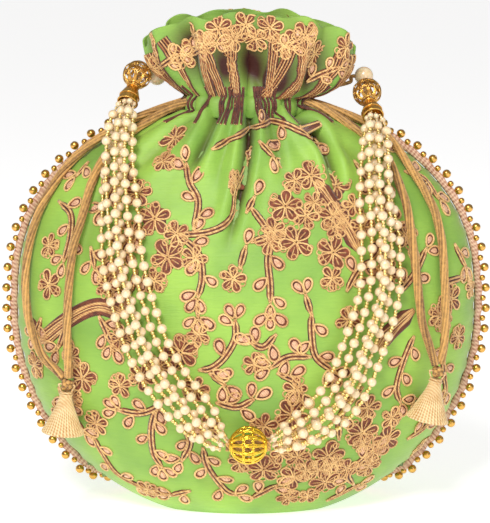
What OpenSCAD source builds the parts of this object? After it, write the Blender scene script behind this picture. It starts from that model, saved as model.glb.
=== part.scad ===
// Drawstring gift pouch: a stuffed fabric bag with a gathered ruffle, two drawcords with
// cone tassels, a beaded seam and a handle of pearl strands.
// Millimetres, +Z up, front towards -Y, origin at the centre of the flat base.

/* [Bag] */
// Half width of the stuffed bag at its widest
body_half_w = 109.5; // [104:0.5:112]
// Height at which the bag is widest
widest_z = 93; // [85:1:100]
// Height of the gathered neck above the base
neck_z = 190; // [188:0.5:191]
// Depth of the belly in front of the seam
front_depth = 58; // [52:0.5:58]
// Depth of the back behind the seam
back_depth = 50; // [44:1:56]
// Half width of the flat base
base_half_w = 50; // [40:1:60]
// Thickness of each fabric layer
cloth_t = 1.4; // [0.8:0.1:1.6]

/* [Ruffle] */
// Highest point of the ruffle's rim
ruffle_top_z = 237; // [225:1:245]
// Half width of the ruffle's rim
ruffle_half_w = 46.5; // [38:0.5:46.5]
// Number of folds around the ruffle
ruffle_folds = 9; // [6:1:12]

/* [Seam trim] */
// Distance between neighbouring outer beads
bead_pitch = 9.3; // [8:0.1:14]
// Diameter of an outer bead
big_bead_d = 4.2; // [3:0.1:4.4]
// Diameter of the smaller bead between two outer beads
small_bead_d = 3; // [2:0.1:3.2]

/* [Handle] */
// Diameter of a bead strand
strand_d = 4.6; // [3:0.1:4.7]
// Diameter of the filigree ball at the middle of the handle
centre_ball_d = 17.5; // [14:0.5:17.5]
// Diameter of the filigree ball at each end of the handle
end_ball_d = 13.7; // [11:0.1:13.7]
// Diameter of the pearl at each end of the handle
end_pearl_d = 9; // [7:0.1:9]

/* [Drawcords] */
// Diameter of a drawcord
cord_d = 4; // [2.5:0.1:4]
// Length of a tassel's cone
tassel_h = 20; // [14:1:20]
// Diameter of a tassel's open end
tassel_d = 20; // [12:1:20]

/* [Hidden] */
$fn = 48;
half_turn = 180;
full_turn = 360;

// Bag
neck_half_w = 28;
neck_front_y = 17;
neck_back_y = 15;
base_front_y = 30;
base_back_y = 28;
deepest_z = 70;
seam_low_z = 5;
seam_side_z = 18;
front_lift = 22;
lift_end_z = 45;
seam_gap = 0.2;
back_gap = 0.7;
flat_from = 0.745;
lens_power = 1.05;
lining_gap = 0.5;
lining_t = 0.8;
skin_rows = 18;
skin_cols = 24;

// Neck casing
casing_gap = 0.3;
casing_h = 7.4;
casing_z = neck_z + casing_gap;
casing_r = 16;
casing_hole_r = 9.5;
casing_centre_x = 12;
bore_z = 194;
front_bore_y = -7.5;
middle_bore_y = -2;
cord_fit = 0.1;
stub_in_x = 22;
front_stub_x = 27.4;
middle_stub_x = 28.9;

// Ruffle
ruffle_z = casing_z + casing_h + casing_gap;
ruffle_t = 1.6;
ruffle_rows = 7;
ruffle_cols = 72;
ruffle_neck_w = 26.5;
ruffle_neck_y = 15;
ruffle_rim_y = 23;
ruffle_lean_y = -3;
ruffle_lean_x = 1.5;
ruffle_side_z = 217;
fold_reach = 2.5;

// Seam trim
tape_w = 3.6;
tape_t = 1;
small_bead_out = 4.5;
big_bead_out = 5.95;
trim_top_z = 187;
side_steps = 40;
low_steps = 24;
tape_steps = 110;
tape_in = 0.4;

// Handle
pivot_y = 7;
pivot_z = 205;
elbow = 1.2;
pin_r = 0.9;
pin_fit = 0.08;
left_pearl = [-42.5, pivot_y, pivot_z];
right_pearl = [56.2, pivot_y, pivot_z];
left_ball_at = [-51.6, -0.2, 206];
right_ball_at = [57.3, -2.2, 198];
centre_ball_at = [1, -66, 42];
left_cap_aim = [-55.2, -9.7, 195.5];
right_cap_aim = [59.4, -14, 189];
left_anchor = [[-27, 7, 197], [-36.8, 7, 202], [-36.8, 7, 205], [-44, 7, 205]];
right_anchor = [[27, 7, 197], [49.5, 7, 202], [49.5, 7, 205], [57.5, 7, 205]];
cap_l = 10;
cap_top_r = 2.4;
cap_mouth_r = 5;
cap_wall = 0.6;
cap_waist = 0.55;
cap_waist_in = 0.4;
cap_floor = 2;
cap_fit = 0.1;
pearl_bore_past = 2.5;
thread_from_pearl = 0.05;
thread_in_cap = 2;
core_r = 2.9;
core_half_l = 10.4;
strand_pitch = 4.9;
strand_centre_z = 80;
thread_r = 1;
ball_gap = 0.2;

// Route of the strand next to the bag in each bundle, from the cap down to the centre ball,
// with each point's spread of the strands (0 stacked, 90 side by side) and thickness.
left_route = [
    [-55.1, -9, 194.5], [-56.5, -17, 187.5], [-58, -24.5, 178.5], [-58.8, -30.5, 166.5],
    [-58.6, -36.5, 154], [-58, -41.5, 139.5], [-57, -46.5, 126], [-54.5, -50.5, 114],
    [-51, -54, 102], [-46, -57.5, 88], [-39, -60.5, 75], [-30, -62, 62.5],
    [-21, -63.5, 52.5], [-14, -65, 45.5], [-9.8, -65, 42]];
right_route = [
    [59.3, -13.7, 187.8], [59.4, -20.8, 182], [59.3, -27.5, 173.5], [59.4, -33, 162.5],
    [60, -38, 150], [61.5, -41.5, 138], [62, -45, 127], [61.5, -49, 112],
    [58.5, -53, 99], [53.5, -56, 85], [48, -58.5, 71], [41, -60.5, 60],
    [30, -62.5, 51], [18, -65, 45], [11.8, -65, 42]];
spread = [0, 0, 10, 25, 45, 65, 80, 90, 90, 90, 90, 80, 50, 10, 0];
thickness = [0.5, 0.85, 1, 1, 1, 1, 1, 1, 1, 1, 1, 1, 1, 0.85, 0.5];

// Drawcords: routes of the four tails from the casing to the knots
left_outer_route = [
    [-29, -2, 194], [-36, -4.5, 192], [-48, -6, 187.8], [-62, -6.8, 181.5], [-76, -7.5, 172],
    [-86, -9.5, 162], [-93, -12.5, 151.5], [-98, -15, 142], [-101.5, -18, 130.5],
    [-103.5, -20, 119], [-104, -22, 107], [-102, -26, 92], [-96, -33, 78], [-89, -37.5, 71.5],
    [-85, -40, 68]];
left_inner_route = [
    [-27.5, -7.5, 194], [-35, -9.5, 191.5], [-46, -11.5, 185.3], [-57, -15.8, 178],
    [-66.5, -21, 168.5], [-72, -27, 157.5], [-76, -33, 143], [-80, -36.5, 129],
    [-82, -39.5, 113], [-83, -42, 95], [-82.8, -43.5, 80], [-82.4, -42, 68.6]];
right_outer_route = [
    [29, -2, 194], [36, -4.5, 192], [48, -6, 187.8], [60, -6.8, 182.5], [69, -10, 175.5],
    [77, -17, 164], [83.5, -20.8, 154], [88.5, -24, 143.5], [91.5, -28, 130],
    [92.5, -32, 115], [93, -36, 98], [92.4, -40, 86], [90.4, -42.5, 74.9]];
right_inner_route = [
    [27.5, -7.5, 194], [35, -9.5, 191.5], [46, -11.5, 185.3], [57, -15.8, 178],
    [66, -21, 169], [71, -26.7, 158.5], [74.5, -31.7, 148], [76.5, -36, 136],
    [79, -40.5, 116], [81.5, -42.5, 95.5], [85, -44.5, 84], [87.9, -44, 74.9]];
left_knot_at = [-83.5, -41.3, 65];
right_knot_at = [89, -43.2, 71.5];
left_lean = 5.5;
right_lean = 11.5;
knot_r = 2.5;
knot_gap = 0.3;
tassel_top_r = 2.3;
tassel_wall = 0.9;
tassel_hole_r = 0.8;
tassel_shoulder = 0.5;
tassel_upper = [0.42, 0.35];
tassel_lower = [0.8, 0.8];
tassel_floor = 0.2;
liner_gap = 0.15;
liner_t = 0.5;
loop_r = 0.5;
loop_fit = 0.08;
loop_half_w = 3.8;
loop_foot = [2.1, 1.2];

silk_green = [0.55, 0.75, 0.27];
lining_green = [0.42, 0.58, 0.22];
gold = [0.83, 0.65, 0.25];
pearl_white = [0.93, 0.88, 0.78];
brocade = [0.86, 0.72, 0.45];

// ---------- Shape of the bag ----------

function low_part(r, r_base, z, z_mid) =
    r * sqrt(1 - (1 - pow(r_base / r, 2)) * pow((z_mid - z) / z_mid, 2));
function high_part(r, r_neck, z, z_mid, n, m) =
    r_neck + (r - r_neck) * pow(max(0, 1 - pow((z - z_mid) / (neck_z - z_mid), n)), m);
function half_w(z) =
    z < widest_z ? low_part(body_half_w, base_half_w, z, widest_z)
                 : high_part(body_half_w, neck_half_w, z, widest_z, 2.7, 0.714);
function depth_at(z, deep, base_y, neck_y) =
    z < deepest_z ? low_part(deep, base_y, z, deepest_z)
                  : high_part(deep, neck_y, z, deepest_z, 2, 0.833);
function front_y(z) = depth_at(z, front_depth, base_front_y, neck_front_y);
function back_y(z) = depth_at(z, back_depth, base_back_y, neck_back_y);

// Height on the side seam at which the row through profile height z ends
function seam_z(z, lift) = z + lift * pow(max(0, 1 - z / lift_end_z), 2);

// How far along a row (0 at the seam, 1 on the profile) the surface has come
function along(s) = 1 - pow(1 - min(1, s / flat_from), 1.6);

// Rows of each panel as [profile y, profile z, side seam z], bottom seam first
seam_y = back_y(seam_low_z);
row_z = [for (i = [1:skin_rows]) neck_z * (1 - cos(half_turn * i / skin_rows)) / 2];
base_rows = [
    [seam_y, seam_low_z, seam_side_z], [seam_y - 3, 1.5, seam_side_z + 0.5],
    [seam_y - 7, 0, seam_side_z + 1], [8, 0, seam_side_z + 2], [-11, 0, seam_side_z + 3],
    [-base_front_y, 0, front_lift]];
front_rows = concat(base_rows, [for (z = row_z) [-front_y(z), z, seam_z(z, front_lift)]]);
back_start_z = seam_low_z + back_gap;
back_lift = seam_side_z + back_gap - back_start_z;
back_rows = [
    for (i = [0:skin_rows])
    let (z = back_start_z + (neck_z - back_start_z) * (1 - cos(half_turn * i / skin_rows)) / 2)
    [back_y(z), z, z + back_lift * pow(max(0, 1 - (z - back_start_z) / lift_end_z), 2)]];

// Point of a profile moved inwards by t; turn is 1 for the front panel and -1 for the back
function inward(rows, i, t, turn) =
    let (a = rows[max(0, i - 1)],
         b = rows[min(len(rows) - 1, i + 1)],
         d = [b[0] - a[0], b[1] - a[1]] / norm([b[0] - a[0], b[1] - a[1]]))
    [rows[i][0] + turn * d[1] * t, min(neck_z, rows[i][1] - turn * d[0] * t)];

function skin_point(p, zs, a, t, turn) =
    let (z = zs + (p[1] - zs) * along(sin(a)))
    [(half_w(z) - t) * cos(a), p[0] * pow(sin(a), lens_power) - turn * seam_gap, z];

function skin(rows, t, turn) = [
    for (i = [0:len(rows) - 1])
    [for (j = [0:skin_cols])
     skin_point(inward(rows, i, t, turn), rows[i][2], half_turn * (1 - j / skin_cols), t, turn)]];

// ---------- Solids from grids of points ----------

function flat_list(m) = [for (row = m) for (p = row) p];

// A sheet between two grids with the same rows and columns
module sheet_between(outer, inner, flip = false) {
    n = len(outer);
    m = len(outer[0]);
    last = n * m;
    sides = concat(
        [for (i = [0:n - 2]) for (j = [0:m - 2])
         [i * m + j, (i + 1) * m + j, (i + 1) * m + j + 1, i * m + j + 1]],
        [for (i = [0:n - 2]) for (j = [0:m - 2])
         [last + i * m + j, last + i * m + j + 1, last + (i + 1) * m + j + 1, last + (i + 1) * m + j]],
        [for (j = [0:m - 2]) [j, j + 1, last + j + 1, last + j]],
        [for (j = [0:m - 2])
         [last + (n - 1) * m + j, last + (n - 1) * m + j + 1, (n - 1) * m + j + 1, (n - 1) * m + j]],
        [for (i = [0:n - 2]) [i * m, last + i * m, last + (i + 1) * m, (i + 1) * m]],
        [for (i = [0:n - 2])
         [i * m + m - 1, (i + 1) * m + m - 1, last + (i + 1) * m + m - 1, last + i * m + m - 1]]);
    triangles = [for (f = sides) for (t = [[f[0], f[1], f[2]], [f[0], f[2], f[3]]]) t];
    polyhedron(concat(flat_list(outer), flat_list(inner)),
               flip ? [for (t = triangles) [t[2], t[1], t[0]]] : triangles);
}

// A ring between two grids whose rows are closed loops
module ring_between(outer, inner) {
    n = len(outer);
    m = len(outer[0]);
    last = n * m;
    sides = concat(
        [for (i = [0:n - 2]) for (j = [0:m - 1]) let (k = (j + 1) % m)
         [i * m + j, (i + 1) * m + j, (i + 1) * m + k, i * m + k]],
        [for (i = [0:n - 2]) for (j = [0:m - 1]) let (k = (j + 1) % m)
         [last + i * m + j, last + i * m + k, last + (i + 1) * m + k, last + (i + 1) * m + j]],
        [for (j = [0:m - 1]) let (k = (j + 1) % m) [j, k, last + k, last + j]],
        [for (j = [0:m - 1]) let (k = (j + 1) % m)
         [last + (n - 1) * m + j, last + (n - 1) * m + k, (n - 1) * m + k, (n - 1) * m + j]]);
    polyhedron(concat(flat_list(outer), flat_list(inner)),
               [for (f = sides) for (t = [[f[0], f[1], f[2]], [f[0], f[2], f[3]]]) t]);
}

function unit(v) = v / norm(v);
function tangent(p, i) = unit(p[min(len(p) - 1, i + 1)] - p[max(0, i - 1)]);

// A tube through the points of p, with radius r[i] at each
module tube(p, r, sides = 8) {
    n = len(p);
    rings = [
        for (i = [0:n - 1])
        let (t = tangent(p, i),
             u = unit(cross(t, [0, 1, 0.2])),
             v = cross(t, u))
        for (k = [0:sides - 1])
        p[i] + r[i] * (cos(full_turn * k / sides) * u + sin(full_turn * k / sides) * v)];
    walls = [
        for (i = [0:n - 2]) for (k = [0:sides - 1]) let (m = (k + 1) % sides)
        [i * sides + k, i * sides + m, (i + 1) * sides + m, (i + 1) * sides + k]];
    ends = [[for (k = [sides - 1:-1:0]) k], [for (k = [0:sides - 1]) (n - 1) * sides + k]];
    polyhedron(rings, concat(
        [for (f = walls) for (t = [[f[0], f[1], f[2]], [f[0], f[2], f[3]]]) t],
        ends));
}

// A round bar from a to b
module bar(a, b, r) {
    d = b - a;
    translate(a)
        rotate([0, acos(d[2] / norm(d)), atan2(d[1], d[0])])
            cylinder(h = norm(d), r = r);
}

// Bars joined by round elbows
module bent_bar(p, r) {
    for (i = [0:len(p) - 2]) bar(p[i], p[i + 1], r);
    for (i = [1:len(p) - 2]) translate(p[i]) sphere(r = elbow * r);
}

// ---------- Bag ----------

module front_panel() {
    color(silk_green) sheet_between(skin(front_rows, 0, 1), skin(front_rows, cloth_t, 1));
}

module back_panel() {
    color(silk_green) sheet_between(skin(back_rows, 0, -1), skin(back_rows, cloth_t, -1), true);
}

module lining_front() {
    color(lining_green)
        sheet_between(skin(front_rows, cloth_t + lining_gap, 1),
                      skin(front_rows, cloth_t + lining_gap + lining_t, 1));
}

module lining_back() {
    color(lining_green)
        sheet_between(skin(back_rows, cloth_t + lining_gap, -1),
                      skin(back_rows, cloth_t + lining_gap + lining_t, -1), true);
}

module rounded_slot(r) {
    square([2 * casing_centre_x, 2 * r], center = true);
    for (x = [-casing_centre_x, casing_centre_x]) translate([x, 0]) circle(r = r);
}

module neck_casing() {
    color(silk_green) difference() {
        translate([0, 0, casing_z]) linear_extrude(height = casing_h) difference() {
            rounded_slot(casing_r);
            rounded_slot(casing_hole_r);
        }
        for (y = [front_bore_y, middle_bore_y])
            translate([-neck_half_w - 1, y, bore_z])
                rotate([0, 90, 0])
                    cylinder(h = 2 * neck_half_w + 2, r = cord_d / 2 + cord_fit);
    }
}

// Rim height around the ruffle: high in front and at the back, low at the sides
function rim_z(a) = ruffle_side_z + (ruffle_top_z - ruffle_side_z) * pow(abs(sin(a)), 0.8);

function ruffle_point(v, a, t) =
    let (reach = 1 - pow(1 - v, 2.2),
         fold = fold_reach * v * cos(ruffle_folds * a + 90),
         w = ruffle_neck_w + (ruffle_half_w - fold_reach - ruffle_neck_w) * reach + fold - t,
         y = ruffle_neck_y + (ruffle_rim_y - ruffle_neck_y) * reach + fold - t)
    [w * cos(a) + ruffle_lean_x * reach, y * sin(a) + ruffle_lean_y * reach,
     ruffle_z + (rim_z(a) - ruffle_z) * v];

module ruffle() {
    grid = [for (t = [0, ruffle_t])
        [for (i = [0:ruffle_rows])
         [for (j = [0:ruffle_cols - 1])
          ruffle_point(i / ruffle_rows, -full_turn * j / ruffle_cols, t)]]];
    color(silk_green) ring_between(grid[0], grid[1]);
}

// ---------- Seam trim ----------

side_seam = [
    for (i = [0:side_steps])
    let (z = trim_top_z + (seam_side_z - trim_top_z) * (1 - cos(90 * i / side_steps)))
    [half_w(z), 0, z]];
low_seam = [
    for (i = [1:low_steps - 1])
    skin_point([seam_y, seam_low_z], seam_side_z, half_turn * i / low_steps, 0, 0)];
seam_path = concat(
    side_seam, low_seam,
    [for (i = [side_steps:-1:0]) [-side_seam[i][0], 0, side_seam[i][2]]]);

function running_length(p, i = 1, sum = [0]) =
    i == len(p) ? sum
                : running_length(p, i + 1, concat(sum, sum[i - 1] + norm(p[i] - p[i - 1])));
seam_lengths = running_length(seam_path);
seam_length = seam_lengths[len(seam_path) - 1];

function seam_at(s) =
    [for (c = [0:2]) lookup(s, [for (i = [0:len(seam_path) - 1]) [seam_lengths[i], seam_path[i][c]]])];

// Direction away from the bag at a point of the seam
function seam_out(p) =
    let (fade = 1 - min(1, 1.8 * max(0, p[1]) / seam_y))
    unit([p[0] / pow(body_half_w, 2), p[1] / pow(back_depth, 2),
          fade * (p[2] - widest_z) / pow(widest_z, 2)]);

module seam_tape() {
    function edge(s, out, side) =
        let (p = seam_at(s), o = seam_out(p), along_seam = unit(seam_at(s + 1) - seam_at(s - 1)))
        p + out * o + side * unit(cross(along_seam, o));
    function face(side) = [
        for (i = [0:tape_steps])
        let (s = 1 + (seam_length - 2) * i / tape_steps)
        [edge(s, tape_in, side), edge(s, tape_in + tape_w, side)]];
    color("pink") sheet_between(face(-tape_t / 2), face(tape_t / 2), true);
}

// Beads along the tape; shift is their place between two outer beads, in pitches
module beads(d, out, shift) {
    n = floor((seam_length - 2 * bead_pitch) / bead_pitch);
    start = (seam_length - n * bead_pitch) / 2;
    for (i = [0:n - ceil(shift)]) {
        p = seam_at(start + (i + shift) * bead_pitch);
        translate(p + out * seam_out(p)) sphere(d = d);
    }
}

module trim_beads_large() {
    color(gold) beads(big_bead_d, big_bead_out, 0);
}

module trim_beads_small() {
    color(gold) beads(small_bead_d, small_bead_out, 0.5);
}

// ---------- Handle ----------

module handle_anchor(points) {
    color(gold) bent_bar(points, pin_r);
}

// A pearl with a blind bore for its anchor, open towards the bag
module end_pearl(at, side) {
    color(pearl_white) difference() {
        translate(at) sphere(d = end_pearl_d);
        bar(at - side * [end_pearl_d, 0, 0], at + side * [pearl_bore_past, 0, 0], pin_r + pin_fit);
    }
}

function cap_start(ball, aim) = ball + (end_ball_d / 2 + ball_gap) * unit(aim - ball);
function thread_route(pearl, ball, aim) =
    [pearl + (end_pearl_d / 2 + thread_from_pearl) * unit(ball - pearl), ball,
     cap_start(ball, aim) + thread_in_cap * unit(aim - ball)];

module end_thread(pearl, ball, aim) {
    color(gold) bent_bar(thread_route(pearl, ball, aim), thread_r);
}

module filigree_end_ball(pearl, ball, aim) {
    color(gold) difference() {
        translate(ball) sphere(d = end_ball_d);
        bent_bar(thread_route(pearl, ball, aim), thread_r + pin_fit);
    }
}

// Bell that gathers the six strands under an end ball
module strand_cap(ball, aim) {
    d = unit(aim - ball);
    color(gold)
        translate(cap_start(ball, aim))
            rotate([0, acos(d[2]), atan2(d[1], d[0])])
                rotate_extrude()
                    polygon([
                        [thread_r + cap_fit, 0], [cap_top_r, 0],
                        [cap_mouth_r - cap_waist_in, cap_l * cap_waist],
                        [cap_mouth_r, cap_l], [cap_mouth_r - cap_wall, cap_l],
                        [cap_mouth_r - cap_waist_in - cap_wall, cap_l * cap_waist],
                        [cap_top_r, cap_floor], [thread_r + cap_fit, cap_floor]]);
}

// Place of strand k across (u) and out from the bag (v), stacked at g = 0 and flat at g = 90
function strand_place(k, g) =
    k == 1 ? [-1 - sin(g), 0] :
    k == 2 ? [0, 0] :
    k == 3 ? [1 + sin(g), 0] :
    k == 4 ? [-1, cos(g)] :
    k == 5 ? [0, 1] : [1, cos(g)];

function strand_point(route, k, i) =
    let (t = tangent(route, i),
         q = [route[i][0] / pow(body_half_w, 2), route[i][1] / pow(front_depth, 2),
              (route[i][2] - strand_centre_z) / pow(2 * front_depth, 2)],
         out = unit(q - (q * t) * t),
         across = cross(t, out),
         place = strand_pitch * thickness[i] * strand_place(k, spread[i]))
    route[i] + place[0] * across + place[1] * out;

module strand(route, k) {
    points = [for (i = [0:len(route) - 1]) strand_point(route, k, i)];
    radii = [for (f = thickness) f * strand_d / 2];
    color(pearl_white) tube(points, radii);
}

module centre_thread() {
    color(gold)
        bar(centre_ball_at - [core_half_l, 0, 0], centre_ball_at + [core_half_l, 0, 0], core_r);
}

module centre_filigree_ball() {
    color(gold) translate(centre_ball_at) rotate([0, 90, 0]) rotate_extrude() difference() {
        circle(d = centre_ball_d);
        translate([core_r + pin_fit - centre_ball_d, -centre_ball_d])
            square([centre_ball_d, 2 * centre_ball_d]);
    }
}

// ---------- Drawcords ----------

// The two straight ends of one drawcord inside the casing
module drawcord_stubs(side) {
    color(gold) {
        bar([side * stub_in_x, front_bore_y, bore_z],
            [side * front_stub_x, front_bore_y, bore_z], cord_d / 2);
        bar([side * stub_in_x, middle_bore_y, bore_z],
            [side * middle_stub_x, middle_bore_y, bore_z], cord_d / 2);
    }
}

module drawcord(route) {
    color(gold) tube(route, [for (p = route) cord_d / 2]);
}

// A knot with a bore for the loop that its tassel hangs from
module cord_knot(at, lean) {
    color(gold) translate(at) rotate([0, 90 + lean, 0]) rotate_extrude() difference() {
        circle(r = knot_r);
        translate([loop_r + loop_fit - 2 * knot_r, -knot_r]) square(2 * knot_r);
    }
}

module at_tassel(at, lean) {
    translate(at) rotate([0, lean, 0]) translate([0, 0, -knot_r - knot_gap]) children();
}

module tassel_cone(at, lean) {
    mouth_r = tassel_d / 2;
    color(brocade) at_tassel(at, lean) {
        bent_bar([
            [-loop_foot[0], 0, -loop_foot[1]], [-loop_half_w, 0, knot_r + knot_gap],
            [loop_half_w, 0, knot_r + knot_gap], [loop_foot[0], 0, -loop_foot[1]]], loop_r);
        rotate_extrude() polygon([
            [tassel_hole_r, 0], [tassel_top_r, -tassel_shoulder],
            [tassel_upper[0] * mouth_r, -tassel_upper[1] * tassel_h],
            [tassel_lower[0] * mouth_r, -tassel_lower[1] * tassel_h],
            [mouth_r, -tassel_h], [mouth_r - tassel_wall, -tassel_h],
            [tassel_lower[0] * mouth_r - tassel_wall, -tassel_lower[1] * tassel_h],
            [tassel_upper[0] * mouth_r - tassel_wall, -tassel_upper[1] * tassel_h],
            [tassel_hole_r, -tassel_floor * tassel_h]]);
    }
}

module tassel_lining(at, lean) {
    mouth_r = tassel_d / 2 - tassel_wall - liner_gap;
    mid_r = tassel_lower[0] * tassel_d / 2 - tassel_wall - liner_gap;
    mid_z = -tassel_lower[1] * tassel_h;
    color(pearl_white) at_tassel(at, lean) rotate_extrude()
        polygon([
            [mid_r, mid_z], [mouth_r, -tassel_h], [mouth_r - liner_t, -tassel_h],
            [mid_r - liner_t, mid_z]]);
}

front_panel();
back_panel();
lining_front();
lining_back();
neck_casing();
ruffle();
seam_tape();
trim_beads_large();
trim_beads_small();
handle_anchor(left_anchor);  // left_handle_anchor
handle_anchor(right_anchor);  // right_handle_anchor
end_pearl(left_pearl, -1);  // left_end_pearl
end_pearl(right_pearl, 1);  // right_end_pearl
end_thread(left_pearl, left_ball_at, left_cap_aim);  // left_end_thread
end_thread(right_pearl, right_ball_at, right_cap_aim);  // right_end_thread
filigree_end_ball(left_pearl, left_ball_at, left_cap_aim);  // left_filigree_ball
filigree_end_ball(right_pearl, right_ball_at, right_cap_aim);  // right_filigree_ball
strand_cap(left_ball_at, left_cap_aim);  // left_strand_cap
strand_cap(right_ball_at, right_cap_aim);  // right_strand_cap
centre_thread();
centre_filigree_ball();
for (k = [1:6]) {
    strand(left_route, k);
    strand(right_route, k);
}
drawcord_stubs(-1);  // left_drawcord_stubs
drawcord_stubs(1);  // right_drawcord_stubs
drawcord(left_outer_route);  // left_drawcord_outer
drawcord(left_inner_route);  // left_drawcord_inner
drawcord(right_outer_route);  // right_drawcord_outer
drawcord(right_inner_route);  // right_drawcord_inner
cord_knot(left_knot_at, left_lean);  // left_cord_knot
cord_knot(right_knot_at, right_lean);  // right_cord_knot
tassel_cone(left_knot_at, left_lean);  // left_tassel_cone
tassel_cone(right_knot_at, right_lean);  // right_tassel_cone
tassel_lining(left_knot_at, left_lean);  // left_tassel_lining
tassel_lining(right_knot_at, right_lean);  // right_tassel_lining
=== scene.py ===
# Embroidered silk drawstring pouch: ruffle, beaded seam, pearl handle and two tasselled drawcords.
import math

import bmesh
import bpy
import numpy as np
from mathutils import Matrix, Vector
from mathutils.bvhtree import BVHTree


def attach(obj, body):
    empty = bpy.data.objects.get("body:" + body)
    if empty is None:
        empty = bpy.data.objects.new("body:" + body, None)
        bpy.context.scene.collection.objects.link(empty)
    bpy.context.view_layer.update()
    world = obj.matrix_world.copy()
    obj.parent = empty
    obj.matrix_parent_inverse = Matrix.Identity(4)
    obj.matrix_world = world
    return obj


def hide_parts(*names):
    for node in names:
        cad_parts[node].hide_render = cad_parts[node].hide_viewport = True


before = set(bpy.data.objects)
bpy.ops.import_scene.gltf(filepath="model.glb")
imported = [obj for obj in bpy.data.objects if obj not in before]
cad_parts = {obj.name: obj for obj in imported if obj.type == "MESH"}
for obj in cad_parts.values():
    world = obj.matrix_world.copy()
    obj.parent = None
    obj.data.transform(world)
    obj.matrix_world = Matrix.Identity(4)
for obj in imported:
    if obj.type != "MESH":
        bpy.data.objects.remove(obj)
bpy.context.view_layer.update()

rng = np.random.default_rng(7)
MM = 0.001

# ---------- Camera ----------

cam = bpy.data.objects.new("camera", bpy.data.cameras.new("camera"))
bpy.context.scene.collection.objects.link(cam)
cam.location = (-0.0005, -1.08646, 0.28858)
cam.rotation_euler = (math.radians(81), 0, 0)
cam.data.lens = 157.7
bpy.context.scene.camera = cam


# ---------- Mesh helpers (millimetres, turned into metres when a piece is made) ----------

def unit(v):
    return v / np.maximum(np.linalg.norm(v, axis=-1, keepdims=True), 1e-9)


def smooth_step(x):
    x = np.clip(x, 0, 1)
    return x * x * (3 - 2 * x)


def round_angles(n):
    return np.linspace(0, 2 * math.pi, n, endpoint=False)


def lengths_along(line):
    return np.concatenate([[0], np.cumsum(np.linalg.norm(np.diff(line, axis=0), axis=1))])


def frame_on(axis, hint):
    """Unit axis with two unit directions square to it."""
    z = unit(np.array(axis, float))
    x = unit(np.cross(z, hint))
    return x, np.cross(z, x), z


def curve_through(points, step):
    """Catmull-Rom line through the points, with points about step apart."""
    p = np.array(points, float)
    ext = np.vstack([2 * p[:1] - p[1:2], p, 2 * p[-1:] - p[-2:-1]])
    t = np.linspace(0, 1, 16, endpoint=False)[:, None]
    out = []
    for a, b, c, d in zip(ext[:-3], ext[1:-2], ext[2:-1], ext[3:]):
        out.append(0.5 * (2 * b + (c - a) * t + (2 * a - 5 * b + 4 * c - d) * t ** 2
                          + (3 * b - a - 3 * c + d) * t ** 3))
    line = np.vstack(out + [ext[-2:-1]])
    along = lengths_along(line)
    at = np.linspace(0, along[-1], max(3, round(along[-1] / step) + 1))
    return np.stack([np.interp(at, along, line[:, k]) for k in range(line.shape[1])], 1)


def line_frames(line):
    """Unit tangent and two unit normals at each point of a line, turning as little as possible."""
    t = unit(np.gradient(line, axis=0))
    n = np.zeros_like(t)
    n[0] = unit(np.cross(t[0], [0.2, -0.3, 1] if abs(t[0][2]) < 0.8 else [1, 0.3, 0.1]))
    for i in range(1, len(t)):
        n[i] = unit(n[i - 1] - t[i] * (n[i - 1] @ t[i]))
    return t, n, np.cross(t, n)


def grid_faces(m, n, wrap, loop=False):
    """Faces between m rows of n points; wrap closes each row, loop joins the last row to the first."""
    i, j = np.meshgrid(np.arange(m if loop else m - 1), np.arange(n if wrap else n - 1), indexing="ij")
    up, k = (i + 1) % m, (j + 1) % n
    return np.stack([i * n + j, i * n + k, up * n + k, up * n + j], -1).reshape(-1, 4)


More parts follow.
